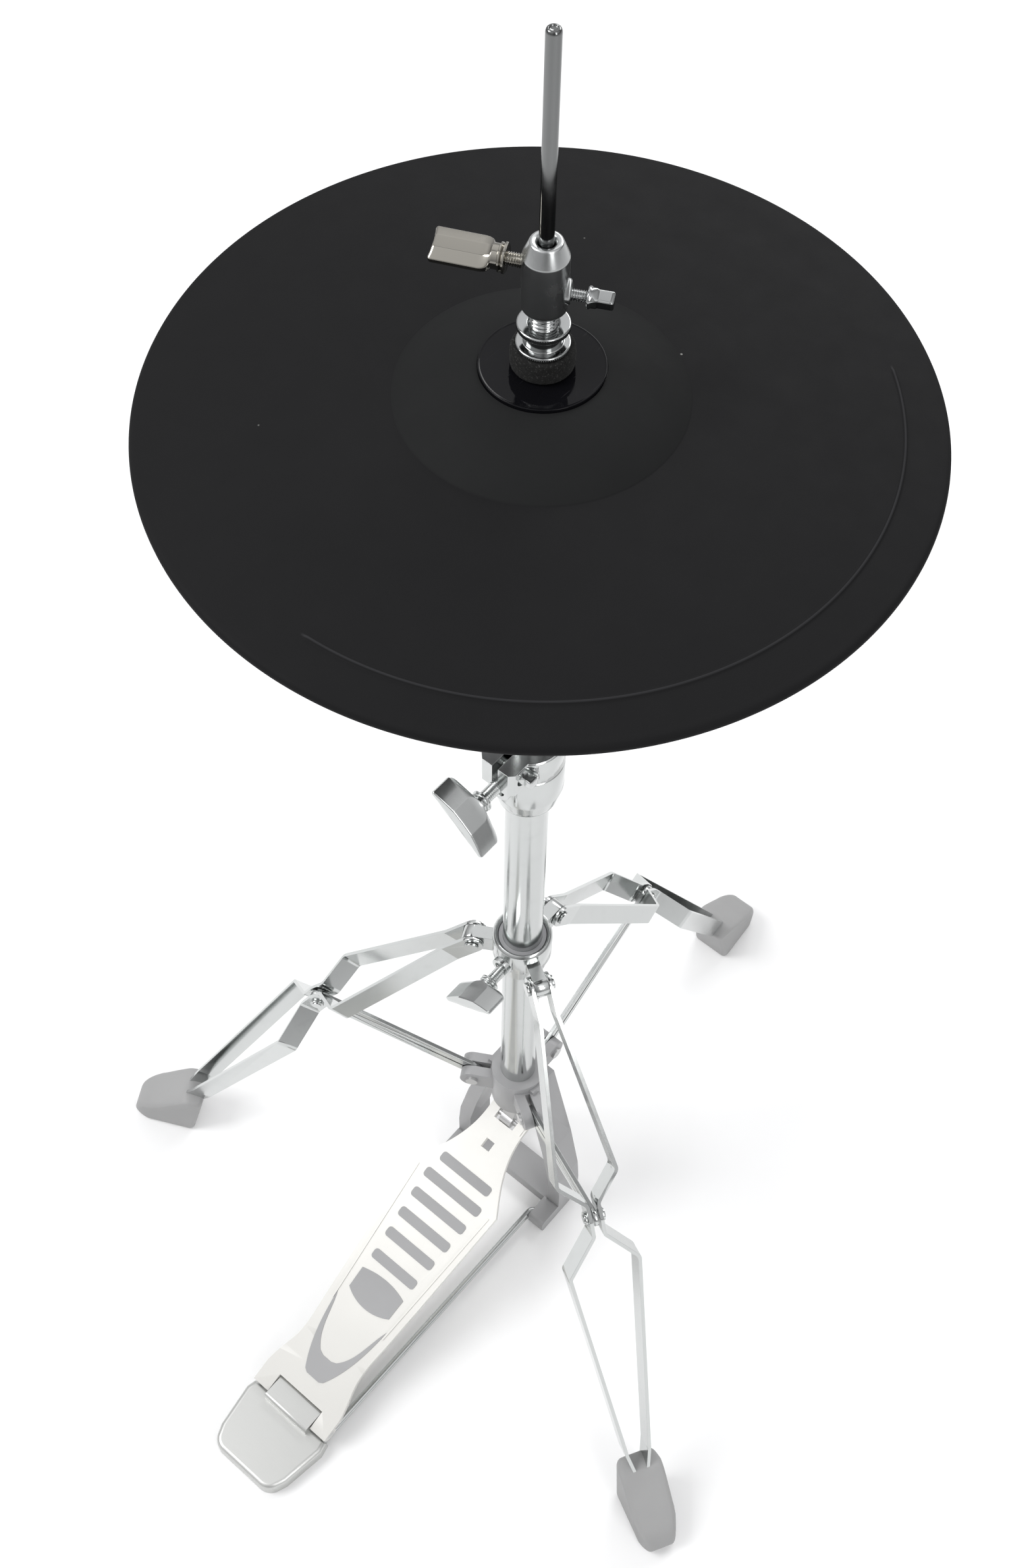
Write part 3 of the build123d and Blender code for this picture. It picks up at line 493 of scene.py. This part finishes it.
class HihatSizes(bpy.types.PropertyGroup):
    """Sizes a user would change."""

    bead_height: length("Bead height", "Height of the thin line along the pad's front", 0.0009)
    bell_radius: length("Bell radius", "Where the bell meets the bow", 0.0647, 0.03)
    stem_pitch: length("Stem pitch", "Pitch of the clutch stem's thread", 0.002, 0.0005)
    screw_pitch: length("Screw pitch", "Pitch of the wing and key screws", 0.001, 0.0004)
    edge_round: length("Edge rounding", "Rounding on the edges of pressed and cast parts", 0.0005)


class HihatColours(bpy.types.PropertyGroup):
    """Colours a user would change."""

    stand_chrome: tint("Stand chrome", "Plate on the stand", (0.58, 0.595, 0.59))
    # A darker copy of the stand's chrome: painted shade, for the dark surroundings the clutch reflects.
    clutch_chrome: tint("Clutch chrome", "Plate on the clutch and rod", (0.42, 0.43, 0.43))
    pad: tint("Pad rubber", "The pad's skin", (0.009, 0.009, 0.0096))
    # Paler than the pad's rubber: painted light on the bell's dome.
    bell: tint("Bell rubber", "The skin over the bell", (0.013, 0.0135, 0.0137))
    casting: tint("Casting grey", "Pedal frame", (0.33, 0.33, 0.335))
    boot: tint("Boot rubber", "The legs' boots", (0.34, 0.34, 0.34))
    board: tint("Footboard", "The footboard's toe end", (0.88, 0.87, 0.83))


def sizes():
    return bpy.context.scene.hihat_sizes


def colour(name):
    return tuple(getattr(bpy.context.scene.hihat_colours, name))


FINISHES = {}


def finish(name, make, *values, **more):
    """A material by name, made once."""
    if name not in FINISHES:
        FINISHES[name] = make(name, *values, **more)
    return FINISHES[name]


def stand_chrome():
    return finish("stand_chrome", plated, colour("stand_chrome"), gloss=0.1)


# Painted shade: the clutch's plate is a darker copy of the stand's chrome.
def clutch_chrome():
    return finish("clutch_chrome", plated, colour("clutch_chrome"), gloss=0.05, ripple=0.00002)


def zinc_steel():
    return finish("zinc_steel", brushed, (0.62, 0.62, 0.62))


def black_plastic():
    return finish("black_plastic", moulded, (0.025, 0.025, 0.026))


def arc_height(r, a, b, c):
    """Height over r of the circle through three (r, z) points."""
    (x1, y1), (x2, y2), (x3, y3) = a, b, c
    d = 2 * (x1 * (y2 - y3) + x2 * (y3 - y1) + x3 * (y1 - y2))
    s1, s2, s3 = x1 * x1 + y1 * y1, x2 * x2 + y2 * y2, x3 * x3 + y3 * y3
    cx = (s1 * (y2 - y3) + s2 * (y3 - y1) + s3 * (y1 - y2)) / d
    cy = (s1 * (x3 - x2) + s2 * (x1 - x3) + s3 * (x2 - x1)) / d
    way = 1 if y2 > cy else -1
    return cy + way * np.sqrt(np.maximum((x1 - cx) ** 2 + (y1 - cy) ** 2 - (r - cx) ** 2, 0))


class HIHAT_OT_pad_skin(bpy.types.Operator):
    """The rubber skin: a domed bell, a gentle bow, a rolled lip, and a thin raised line along the front"""

    bl_idname = "hihat.pad_skin"
    bl_label = "Pad skin"

    def execute(self, context):
        # Height over radius follows the bell's arc, then the bow's. The bead adds h exp(-((r - r0) / w)^2)
        # between its two end angles. The bow starts 0.22 mm below the bell, and makes that up by r = 90.
        s = sizes()
        low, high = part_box("pad_rubber_skin")
        edge = high.x / MM
        rim = low.z / MM + 4.4
        bell = s.bell_radius / MM
        r = np.unique(np.concatenate([
            np.linspace(BELL_TOP[0], bell - 0.5, 26), bell + np.linspace(-0.45, 0.75, 9),
            np.linspace(bell + 1, 154.5, 40), np.linspace(154.6, 159.8, 19), np.linspace(160, edge - 4, 14)]))
        dome = arc_height(r, BELL_TOP, (47, 883), BELL_EDGE)
        bow = arc_height(r, BELL_EDGE, (121, 868.8), (edge - 4, rim + 1.6))
        z = np.where(r < bell, dome, bow) - 0.22 * smooth((r - bell + 0.1) / 0.5) * smooth((90 - r) / 20)
        t = np.linspace(0, np.pi, 11)
        lip_r = edge - 3.9 + 3.9 * np.sin(t) ** 0.8
        lip_z = rim - 1.4 + 3.0 * np.cos(t)
        keep = lip_z < z[-1] - 0.05
        profile = np.concatenate([np.stack([r, z], -1), np.stack([lip_r[keep], lip_z[keep]], -1),
                                  [[edge - 7, rim - 4.3], [edge - 7, rim - 1.3]],
                                  np.stack([r, z - 2.6], -1)[::-6], [[BELL_TOP[0], BELL_TOP[1] - 2.6]]])
        angle = np.linspace(0, 2 * np.pi, 480, endpoint=False)[:, None]
        radius, height = profile[None, :, 0], profile[None, :, 1]
        turn = np.degrees(angle) % 360
        along = (turn - BEAD_START) % 360
        span = smooth(along / 1.2) * smooth((BEAD_SPAN - along) / 1.2)
        on_top = (np.arange(profile.shape[0]) < len(r))[None, :]
        bead = s.bead_height / MM * np.exp(-(((radius - BEAD_R) / 0.75) ** 2)) * span * on_top
        height = height + bead + 0 * angle
        radius = radius + 0 * angle
        grid = np.stack([radius * np.cos(angle), radius * np.sin(angle), height], -1)
        rubber = finish("pad_rubber", pad_rubber, colour("pad"), colour("bell"), bell)
        piece("pad_skin", net(grid, True, True), rubber, "pad", ["pad_rubber_skin"], 40)
        return {"FINISHED"}


class HIHAT_OT_pad_inside(bpy.types.Operator):
    """The glossy cup disc, the core, the bottom cover with its screws, the jack and the sensors"""

    bl_idname = "hihat.pad_inside"
    bl_label = "Cup disc and underside"

    def execute(self, context):
        low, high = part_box("pad_cup_disc")
        r, z0, z1 = high.x / MM, low.z / MM, high.z / MM
        disc = rounded([(6.6, z0), (r, z0), (r, z1 - 0.1), (r - 0.5, z1), (r - 1.1, z1 - 0.2),
                        (9.5, z1 - 0.25), (6.6, z1 - 0.25)], [0.1, 0.2, 0.3, 0.25, 0.3, 0.3, 0.2])
        gloss = finish("cup_gloss", polished_black, (0.004, 0.004, 0.005))
        piece("cup_disc", turned(disc, 240), gloss, "pad", ["pad_cup_disc"], 40)
        dress(["pad_core", "pad_bottom_cover"], black_plastic())
        socket = finish("socket_plastic", moulded, (0.02, 0.02, 0.02), rough=0.35)
        dress(["pad_jack_socket", "controller_jack_socket"], socket)
        dress(["pad_cover_screws"], zinc_steel(), 0.3)
        dress(["pad_edge_sensor"], finish("sensor_film", moulded, (0.5, 0.45, 0.3), rough=0.3))
        dress(["pad_piezo_sensors"], finish("sensor_brass", brushed, (0.78, 0.6, 0.28)))
        return {"FINISHED"}


class HIHAT_OT_felts(bpy.types.Operator):
    """The two felts that hold the pad, and the felt under the controller"""

    bl_idname = "hihat.felts"
    bl_label = "Felts"

    def execute(self, context):
        # A turned ring with bowed sides, roughened by smoothed, seeded noise over angle and profile.
        felt = finish("felt", felt_cloth, (0.009, 0.009, 0.0087))
        for name, node, body, bowed, seed in (("upper_felt", "clutch_upper_felt", "clutch", 0.35, 1),
                                              ("lower_felt", "clutch_lower_felt", "clutch", 0.2, 2),
                                              ("controller_felt", "seat_felt", "mast", 0.3, 3)):
            low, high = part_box(node)
            r, z0, z1 = high.x / MM - 0.3, low.z / MM + 0.05, high.z / MM - 0.05
            sides = [(r - 0.1, z) for z in np.linspace(z0 + 0.8, z1 - 0.8, 7)]
            outline = rounded([(6.4, z0), (r - 0.9, z0), *sides, (r - 0.9, z1), (6.4, z1)], 0.9, 6)
            rough = np.random.default_rng(seed).standard_normal((200, len(outline)))
            for shift in (1, -1):
                rough = (rough + np.roll(rough, shift, 0) + np.roll(rough, shift, 1)) / 2.0
            middle, half = (z0 + z1) / 2, (z1 - z0) / 2
            swell = lambda t, rr, z: (0.05 * rough * (rr > 7) - 0.1
                                      + bowed * (1 - ((z - middle) / half) ** 2) * (rr > r - 1))
            ring = turned(outline, 200, swell)
            made = piece(name, ring, felt, body, [node], 80)
        return {"FINISHED"}


class HIHAT_OT_clutch(bpy.types.Operator):
    """The clutch: its body, threaded stem, nuts, wing screw and key screw, and the pull rod"""

    bl_idname = "hihat.clutch"
    bl_label = "Clutch and rod"

    def execute(self, context):
        s, chrome = sizes(), clutch_chrome()
        warm = finish("screw_chrome", plated, (0.36, 0.345, 0.31), gloss=0.06, ripple=0.00002)
        low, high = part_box("clutch_stem")
        stem = thread(high.x / MM, 0.9, s.stem_pitch / MM, low.z / MM, 934.0, 64, 3.5)
        piece("stem_thread", stem, chrome, "clutch", ["clutch_stem"], 50)
        body = rounded([(6.2, 921.6), (9.0, 921.6), (9.75, 922.6), (9.85, 924), (9.85, 947.2), (9.85, 948.4),
                        (6.9, 955.6), (6.0, 956), (4.6, 955.7), (3.45, 954.3), (3.45, 935), (6.2, 935)],
                       [0.3, 0.5, 0.5, 0.4, 0.4, 0.5, 0.6, 0.5, 0.5, 0.6, 0.3, 0.3])
        angle = np.linspace(0, 2 * np.pi, 56, endpoint=False)[None, :]
        # The key screw's boss is a tear drop: an ellipse drawn out upwards that sinks back into the sleeve.
        d = np.array([8.8, 10.4, 10.9, 11.15])[:, None]
        shrink = np.array([1.0, 1.0, 0.93, 0.84])[:, None]
        high_side = 1 + 0.9 * np.clip(np.sin(angle), 0, 1) ** 1.5
        boss_r = 4.4 * shrink
        boss = lofted(np.stack([boss_r * np.cos(angle) * (1.9 - high_side) ** 0.25 + 0 * d,
                                boss_r * np.sin(angle) * high_side + 0 * d, d + 0 * angle], -1))
        boss = outwards(boss, KEY_AZIMUTH, (0, 0, KEY_Z))
        plate = colour("clutch_chrome")
        # The sleeve's plate is painted 1.25 times brighter than the clutch's: a painted reflection of the bright
        # sky on its facets.
        soft_lit_chrome = finish("sleeve_chrome", plated, tuple(c * 1.25 for c in plate), gloss=0.2, ripple=0.00002)
        sleeve = together(turned(body, 200), boss)
        piece("clutch_sleeve", sleeve, soft_lit_chrome, "clutch", ["clutch_body"], 38)

        grip = lambda t, r, z: 0.12 * np.cos(72 * t) * (r > 10.9) * (np.abs(z - 912.05) < 0.8)
        nut = rounded([(6.0, 909.4), (8.2, 909.4), (8.2, 910.6), (11, 910.6), (11.4, 911.1), (11.4, 911.7),
                       (11.4, 912.4), (11.4, 913.1), (10.9, 913.5), (7, 913.5), (6.0, 912.9)], 0.25, 4)
        nut = turned(nut, 432, grip)
        piece("upper_clutch_nut", nut, chrome, "upper_nut", ["clutch_upper_nut"], 50)
        teeth = lambda t, r, z: 0.16 * np.cos(80 * t) * (r > 11.2) * (z < 902.4)
        flange = rounded([(6.0, 901.35), (11.2, 901.35), (11.75, 901.6), (11.75, 902.0), (11.75, 902.4),
                          (11.7, 903.0), (11.2, 903.35), (8.6, 903.4), (8.3, 904.0), (8.3, 908.2),
                          (7.8, 908.9), (6.0, 908.9)], 0.3, 4)
        flange = turned(flange, 480, teeth)
        piece("flange_clutch_nut", flange, chrome, "flange_nut", ["clutch_flange_nut"], 50)
        ribs = lambda t, r, z: 0.22 * np.cos(40 * t) * (r > 10.7)
        low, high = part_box("clutch_bottom_nut")
        z0, z1 = low.z / MM, high.z / MM
        side = [(10.75, z) for z in (z0 + 0.7, *np.linspace(z0 + 1.6, z1 - 1.6, 5), z1 - 0.7)]
        bottom = rounded([(6.1, z0), (10.1, z0), *side, (10.1, z1), (6.1, z1)], 0.35, 4)
        bottom = turned(bottom, 320, ribs)
        piece("bottom_clutch_nut", bottom, chrome, "bottom_nut", ["clutch_bottom_nut"], 50)

        pitch = s.screw_pitch / MM
        screw = together(thread(3, 0.45, pitch, 0.2, 12.6, 40),
                         wing(12.3, 5.3, 9.5, 21.7, 15.5, 6.4, 2.6, 1.0))
        screw = outwards(screw, WING_AZIMUTH, 3.7 * heading(WING_AZIMUTH) + [0, 0, WING_Z], -17)
        piece("clutch_wing", screw, warm, "clutch_wing", ["clutch_wing_screw"], 45)
        key = together(thread(2.5, 0.4, pitch, 0.2, 11.9, 40), key_head(11.6, 4.7, 6, 10.9))
        key = outwards(key, KEY_AZIMUTH, 6.2 * heading(KEY_AZIMUTH) + [0, 0, KEY_Z], 20)
        piece("clutch_key", key, chrome, "clutch_key", ["clutch_key_screw"], 45)

        # Painted shade: the rod's plate is painted at 0.45 of the clutch's, for the dark it reflects near the
        # clutch.
        dark = finish("rod_chrome", plated, tuple(c * 0.45 for c in plate), gloss=0.04, ripple=0.00001)
        rod = rounded([(0.0, 676), (2.4, 676), (2.4, 690), (3.175, 690), (3.175, 700), (3.175, 1049.6),
                       (2.7, 1050.7), (1.9, 1051), (1.5, 1050.2), (0.0, 1049.9)],
                      [0, 0.1, 0.1, 0.1, 1, 0.5, 0.4, 0.3, 0.3, 0], 4)
        piece("pull_rod_bright", turned(rod, 96), dark, "rod", ["pull_rod"], 40)
        return {"FINISHED"}


class HIHAT_OT_wing_bolts(bpy.types.Operator):
    """The stand's two wing bolts and the memory lock's key bolt"""

    bl_idname = "hihat.wing_bolts"
    bl_label = "Wing bolts and key bolt"

    def execute(self, context):
        chrome, pitch = stand_chrome(), sizes().screw_pitch / MM * 1.25
        for name, node, start, shank, blade, span, roll in (
                ("height_wing", "height_wing_bolt", 11.9, 27, 14, 46.2, -42),
                ("hub_wing", "hub_wing_bolt", 14.6, 17, 15, 44.6, 36)):
            low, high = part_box(node)
            bolt = together(thread(4, 0.6, pitch, 0.1, shank + 0.3, 44),
                            wing(shank, 5.5, 8, blade - 0.2, span, 9.0, 2.4, 1.5))
            bolt = outwards(bolt, -90, (0, -start, (low.z + high.z) / 2 / MM), roll)
            piece(name, bolt, chrome, name, [node], 45)
        low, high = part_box("memory_lock_key_bolt")
        z = (low.z + high.z) / 2 / MM
        key = together(thread(3, 0.45, pitch, 0.1, 21.3, 40), key_head(21, 5, 6.4, 9.4))
        key = outwards(key, 0, (low.x / MM, -18, z))
        piece("lock_key", key, chrome, "lock_key", ["memory_lock_key_bolt"], 45)
        return {"FINISHED"}


class HIHAT_OT_boots(bpy.types.Operator):
    """The three rubber boots"""

    bl_idname = "hihat.boots"
    bl_label = "Boots"

    def execute(self, context):
        # A side outline with rounded corners is repeated across the width; towards each flank it shrinks to
        # its middle by a quarter-round, and the half width depends on the distance out.
        rubber = finish("boot_rubber", moulded, colour("boot"), rough=0.62, grain=900.0, depth=0.00008)
        side = rounded([(264, 0), (309, 0), (314.4, 8), (309.5, 22.5), (286, 39), (265, 52.4), (251.5, 48.5)],
                       [3, 4, 5, 9, 12, 5, 4], 8)
        middle = side.mean(0)
        half = np.array([0.25, 0.5, 0.76, 0.86, 0.93, 0.975, 0.995, 1])
        v = np.concatenate([-half[::-1], [0], half])
        into = np.clip((np.abs(v) - 0.74) / 0.26, 0, 1)
        inset = 4.2 * (1 - np.sqrt(np.maximum(1 - into**2, 0)))
        away = side - middle
        away = away * (1 - inset[:, None] / np.linalg.norm(away, axis=1)[None, :])[:, :, None]
        out, up = middle[0] + away[..., 0], middle[1] + away[..., 1]
        across = v[:, None] * np.interp(out, [245, 262, 296, 318], [12, 16.4, 15.9, 9.2])
        up = np.maximum(up, 0)
        for name, azimuth in LEGS.items():
            a = math.radians(azimuth)
            x, y = out * math.cos(a) - across * math.sin(a), out * math.sin(a) + across * math.cos(a)
            rings = np.stack([x, y, up], -1)
            piece(f"{name}_boot", lofted(rings), rubber, f"{name}_leg", [f"{name}_foot"], 50)
        return {"FINISHED"}


class HIHAT_OT_springs(bpy.types.Operator):
    """The pedal's return spring and the controller's spring"""

    bl_idname = "hihat.springs"
    bl_label = "Springs"

    def execute(self, context):
        steel = finish("spring_wire", brushed, (0.5, 0.5, 0.5), gloss=0.22)
        for name, node, body, joint, wire_r, turns in (
                ("return_coil", "return_spring", "base", "rod_slide", 1.0, 13),
                ("controller_coil", "controller_spring", "mast", "plunger_travel", 0.7, 4)):
            low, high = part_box(node)
            shape = coil(high.x / MM - wire_r, wire_r, low.z / MM, high.z / MM, turns)
            made = piece(name, shape, steel, body, [node], 60)
            tall = high.z - low.z
            (tall - ROD_STROKE) / tall
            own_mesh(made)
        return {"FINISHED"}


class HIHAT_OT_stand(bpy.types.Operator):
    """Finishes of the tubes, clamps, hub, legs, pedal frame and radius rod"""

    bl_idname = "hihat.stand"
    bl_label = "Stand finishes"

    def execute(self, context):
        chrome, edge = stand_chrome(), sizes().edge_round / MM
        dress(["base_tube", "upper_tube", "radius_rod"], chrome)
        dress(["leg_hub", "height_clamp", "memory_lock"], chrome, edge)
        pressed = [f"{leg}_{part}" for leg in LEGS for part in ("leg_strips", "brace", "leg_rivets")]
        dress(pressed, chrome, edge)
        dress(["hub_pins"], chrome, 0.4)
        dress(["height_bushing"], black_plastic(), 0.3)
        dress(["hub_bushing"], finish("bushing_plastic", moulded, (0.3, 0.3, 0.31), rough=0.4), 0.3)
        dress(["pedal_frame"], finish("cast_grey", painted, colour("casting")), 1.2)
        dress(["lower_pull_rod", "brace_pins", "toe_link"], zinc_steel())
        dress(["rod_guide_bush", "seat_cup"], black_plastic(), 0.3)
        return {"FINISHED"}


class HIHAT_OT_controller(bpy.types.Operator):
    """Finishes of the position controller"""

    bl_idname = "hihat.controller"
    bl_label = "Controller finishes"

    def execute(self, context):
        dress(["controller_housing"], black_plastic(), 0.6)
        dress(["controller_plunger"], finish("plunger_plastic", moulded, (0.2, 0.2, 0.2), rough=0.4), 0.4)
        dress(["controller_board"], finish("circuit_board", board_print))
        return {"FINISHED"}


class HIHAT_OT_pedal(bpy.types.Operator):
    """Finishes of the footboard, its grips, the heel plate and the pins"""

    bl_idname = "hihat.pedal"
    bl_label = "Pedal finishes"

    def execute(self, context):
        toe = colour("board")
        heel = tuple(c * 0.72 for c in toe)
        dress(["footboard"], finish("footboard_paint", painted, heel, toe, rough=0.3), 0.8)
        grips = finish("grip_rubber", moulded, (0.36, 0.36, 0.365), rough=0.7, grain=1200.0)
        dress(["footboard_grips"], grips, 0.4)
        dress(["heel_plate"], finish("heel_satin", brushed, (0.62, 0.625, 0.61), gloss=0.3), 1.0)
        dress(["heel_pin", "toe_pin"], zinc_steel(), 0.3)
        return {"FINISHED"}


class HIHAT_OT_stage(bpy.types.Operator):
    """A pale floor, soft lights and the camera"""

    bl_idname = "hihat.stage"
    bl_label = "Stage"

    def execute(self, context):
        # The floor is a disc of rings; it is flat.
        radius = np.concatenate([[0.0], np.geomspace(0.2, 14, 24)])[:, None]
        angle = np.linspace(0, 2 * np.pi, 96, endpoint=False)[None, :]
        grid = np.stack([radius * np.cos(angle), radius * np.sin(angle), 0 * radius * angle - 0.0002], -1)
        points, faces = net(grid, False, True)
        mesh = bpy.data.meshes.new("floor")
        mesh.from_pydata(points.tolist(), [], faces.tolist())
        floor = bpy.data.objects.new("floor", mesh)
        context.scene.collection.objects.link(floor)
        f = Finish("floor_pale")
        tone = f.blend(f.noise(3, 2), (0.90, 0.90, 0.90), (0.93, 0.93, 0.93))
        mesh.materials.append(f.surface(base_color=tone, roughness=0.9))

        world = bpy.data.worlds.new("studio")
        context.scene.world = world
        world.use_nodes = True
        nodes, links = world.node_tree.nodes, world.node_tree.links
        nodes.clear()

        def math_node(operation, *inputs):
            """A Math node; each input is a number or the socket that feeds it."""
            made = nodes.new("ShaderNodeMath")
            made.operation = operation
            for slot, value in zip(made.inputs, inputs):
                if isinstance(value, float):
                    slot.default_value = value
                else:
                    links.new(value, slot)
            return made.outputs[0]

        def ramp(share, stops, blue):
            """A brightness over share, from (position, level) stops; blue scales its third channel."""
            made = nodes.new("ShaderNodeValToRGB")
            elements = made.color_ramp.elements
            while len(elements) < len(stops):
                elements.new(0.5)
            for element, (position, level) in zip(elements, stops):
                element.position, element.color = position, (level, level, level * blue, 1)
            links.new(share, made.inputs[0])
            return made.outputs["Color"]

        way = nodes.new("ShaderNodeTexCoord")
        parts = nodes.new("ShaderNodeSeparateXYZ")
        links.new(way.outputs["Generated"], parts.inputs[0])
        x, y, z = parts.outputs
        around = math_node("ARCTAN2", y, x)
        sky = ramp(math_node("MULTIPLY_ADD", z, 0.5, 0.5), SKY_HEIGHTS, 1.01)
        panels = ramp(math_node("MULTIPLY_ADD", around, 0.5 / math.pi, 0.5), SKY_PANELS, 1)
        both = nodes.new("ShaderNodeMix")
        both.data_type, both.blend_type = "RGBA", "MULTIPLY"
        both.inputs[0].default_value = 1.0
        links.new(sky, both.inputs[6])
        links.new(panels, both.inputs[7])
        back = nodes.new("ShaderNodeBackground")
        back.inputs["Strength"].default_value = SKY_STRENGTH
        links.new(both.outputs[2], back.inputs["Color"])
        links.new(back.outputs[0], nodes.new("ShaderNodeOutputWorld").inputs[0])

        for name, place, size, power in LAMPS:
            light = bpy.data.lights.new(name, "AREA")
            light.shape, light.size, light.size_y, light.energy = "RECTANGLE", *size, power
            lamp = bpy.data.objects.new(name, light)
            context.scene.collection.objects.link(lamp)
            lamp.location = place
            lamp.rotation_euler = (Vector((0, 0, 0.6)) - Vector(place)).to_track_quat("-Z", "Y").to_euler()

        lens = bpy.data.cameras.new("camera")
        lens.lens, lens.sensor_width = LENS_MM, SENSOR_MM
        lens.clip_start, lens.clip_end = 0.05, 60.0
        camera = bpy.data.objects.new("camera", lens)
        context.scene.collection.objects.link(camera)
        right, ahead = Vector(EYE_RIGHT).normalized(), Vector(EYE_AHEAD).normalized()
        up = right.cross(ahead).normalized()
        turn = Matrix((right, up, -ahead)).transposed()
        camera.matrix_world = Matrix.Translation(EYE) @ turn.to_4x4()
        context.scene.camera = camera
        context.scene.view_settings.view_transform = "Standard"
        return {"FINISHED"}


class HIHAT_PT_panel(bpy.types.Panel):
    """The hi-hat's steps, in order"""

    bl_label = "Hi-hat"
    bl_space_type = "VIEW_3D"
    bl_region_type = "UI"
    bl_category = "Hi-hat"

    def draw(self, context):
        for group in (context.scene.hihat_sizes, context.scene.hihat_colours):
            box = self.layout.box()
            for name in group.__annotations__:
                box.prop(group, name)
        for step in STEPS:
            self.layout.operator(step.bl_idname)


STEPS = (HIHAT_OT_pad_skin, HIHAT_OT_pad_inside, HIHAT_OT_felts, HIHAT_OT_clutch, HIHAT_OT_wing_bolts,
         HIHAT_OT_boots, HIHAT_OT_springs, HIHAT_OT_stand, HIHAT_OT_controller, HIHAT_OT_pedal,
         HIHAT_OT_stage)
CLASSES = (HihatSizes, HihatColours, *STEPS, HIHAT_PT_panel)


def register():
    for each in CLASSES:
        bpy.utils.register_class(each)
    bpy.types.Scene.hihat_sizes = bpy.props.PointerProperty(type=HihatSizes)
    bpy.types.Scene.hihat_colours = bpy.props.PointerProperty(type=HihatColours)


def unregister():
    del bpy.types.Scene.hihat_sizes
    del bpy.types.Scene.hihat_colours
    for each in reversed(CLASSES):
        bpy.utils.unregister_class(each)


def main():
    """Builds every piece."""
    register()
    for step in STEPS:
        group, name = step.bl_idname.split(".")
        getattr(getattr(bpy.ops, group), name)()


if __name__ == "__main__":
    main()
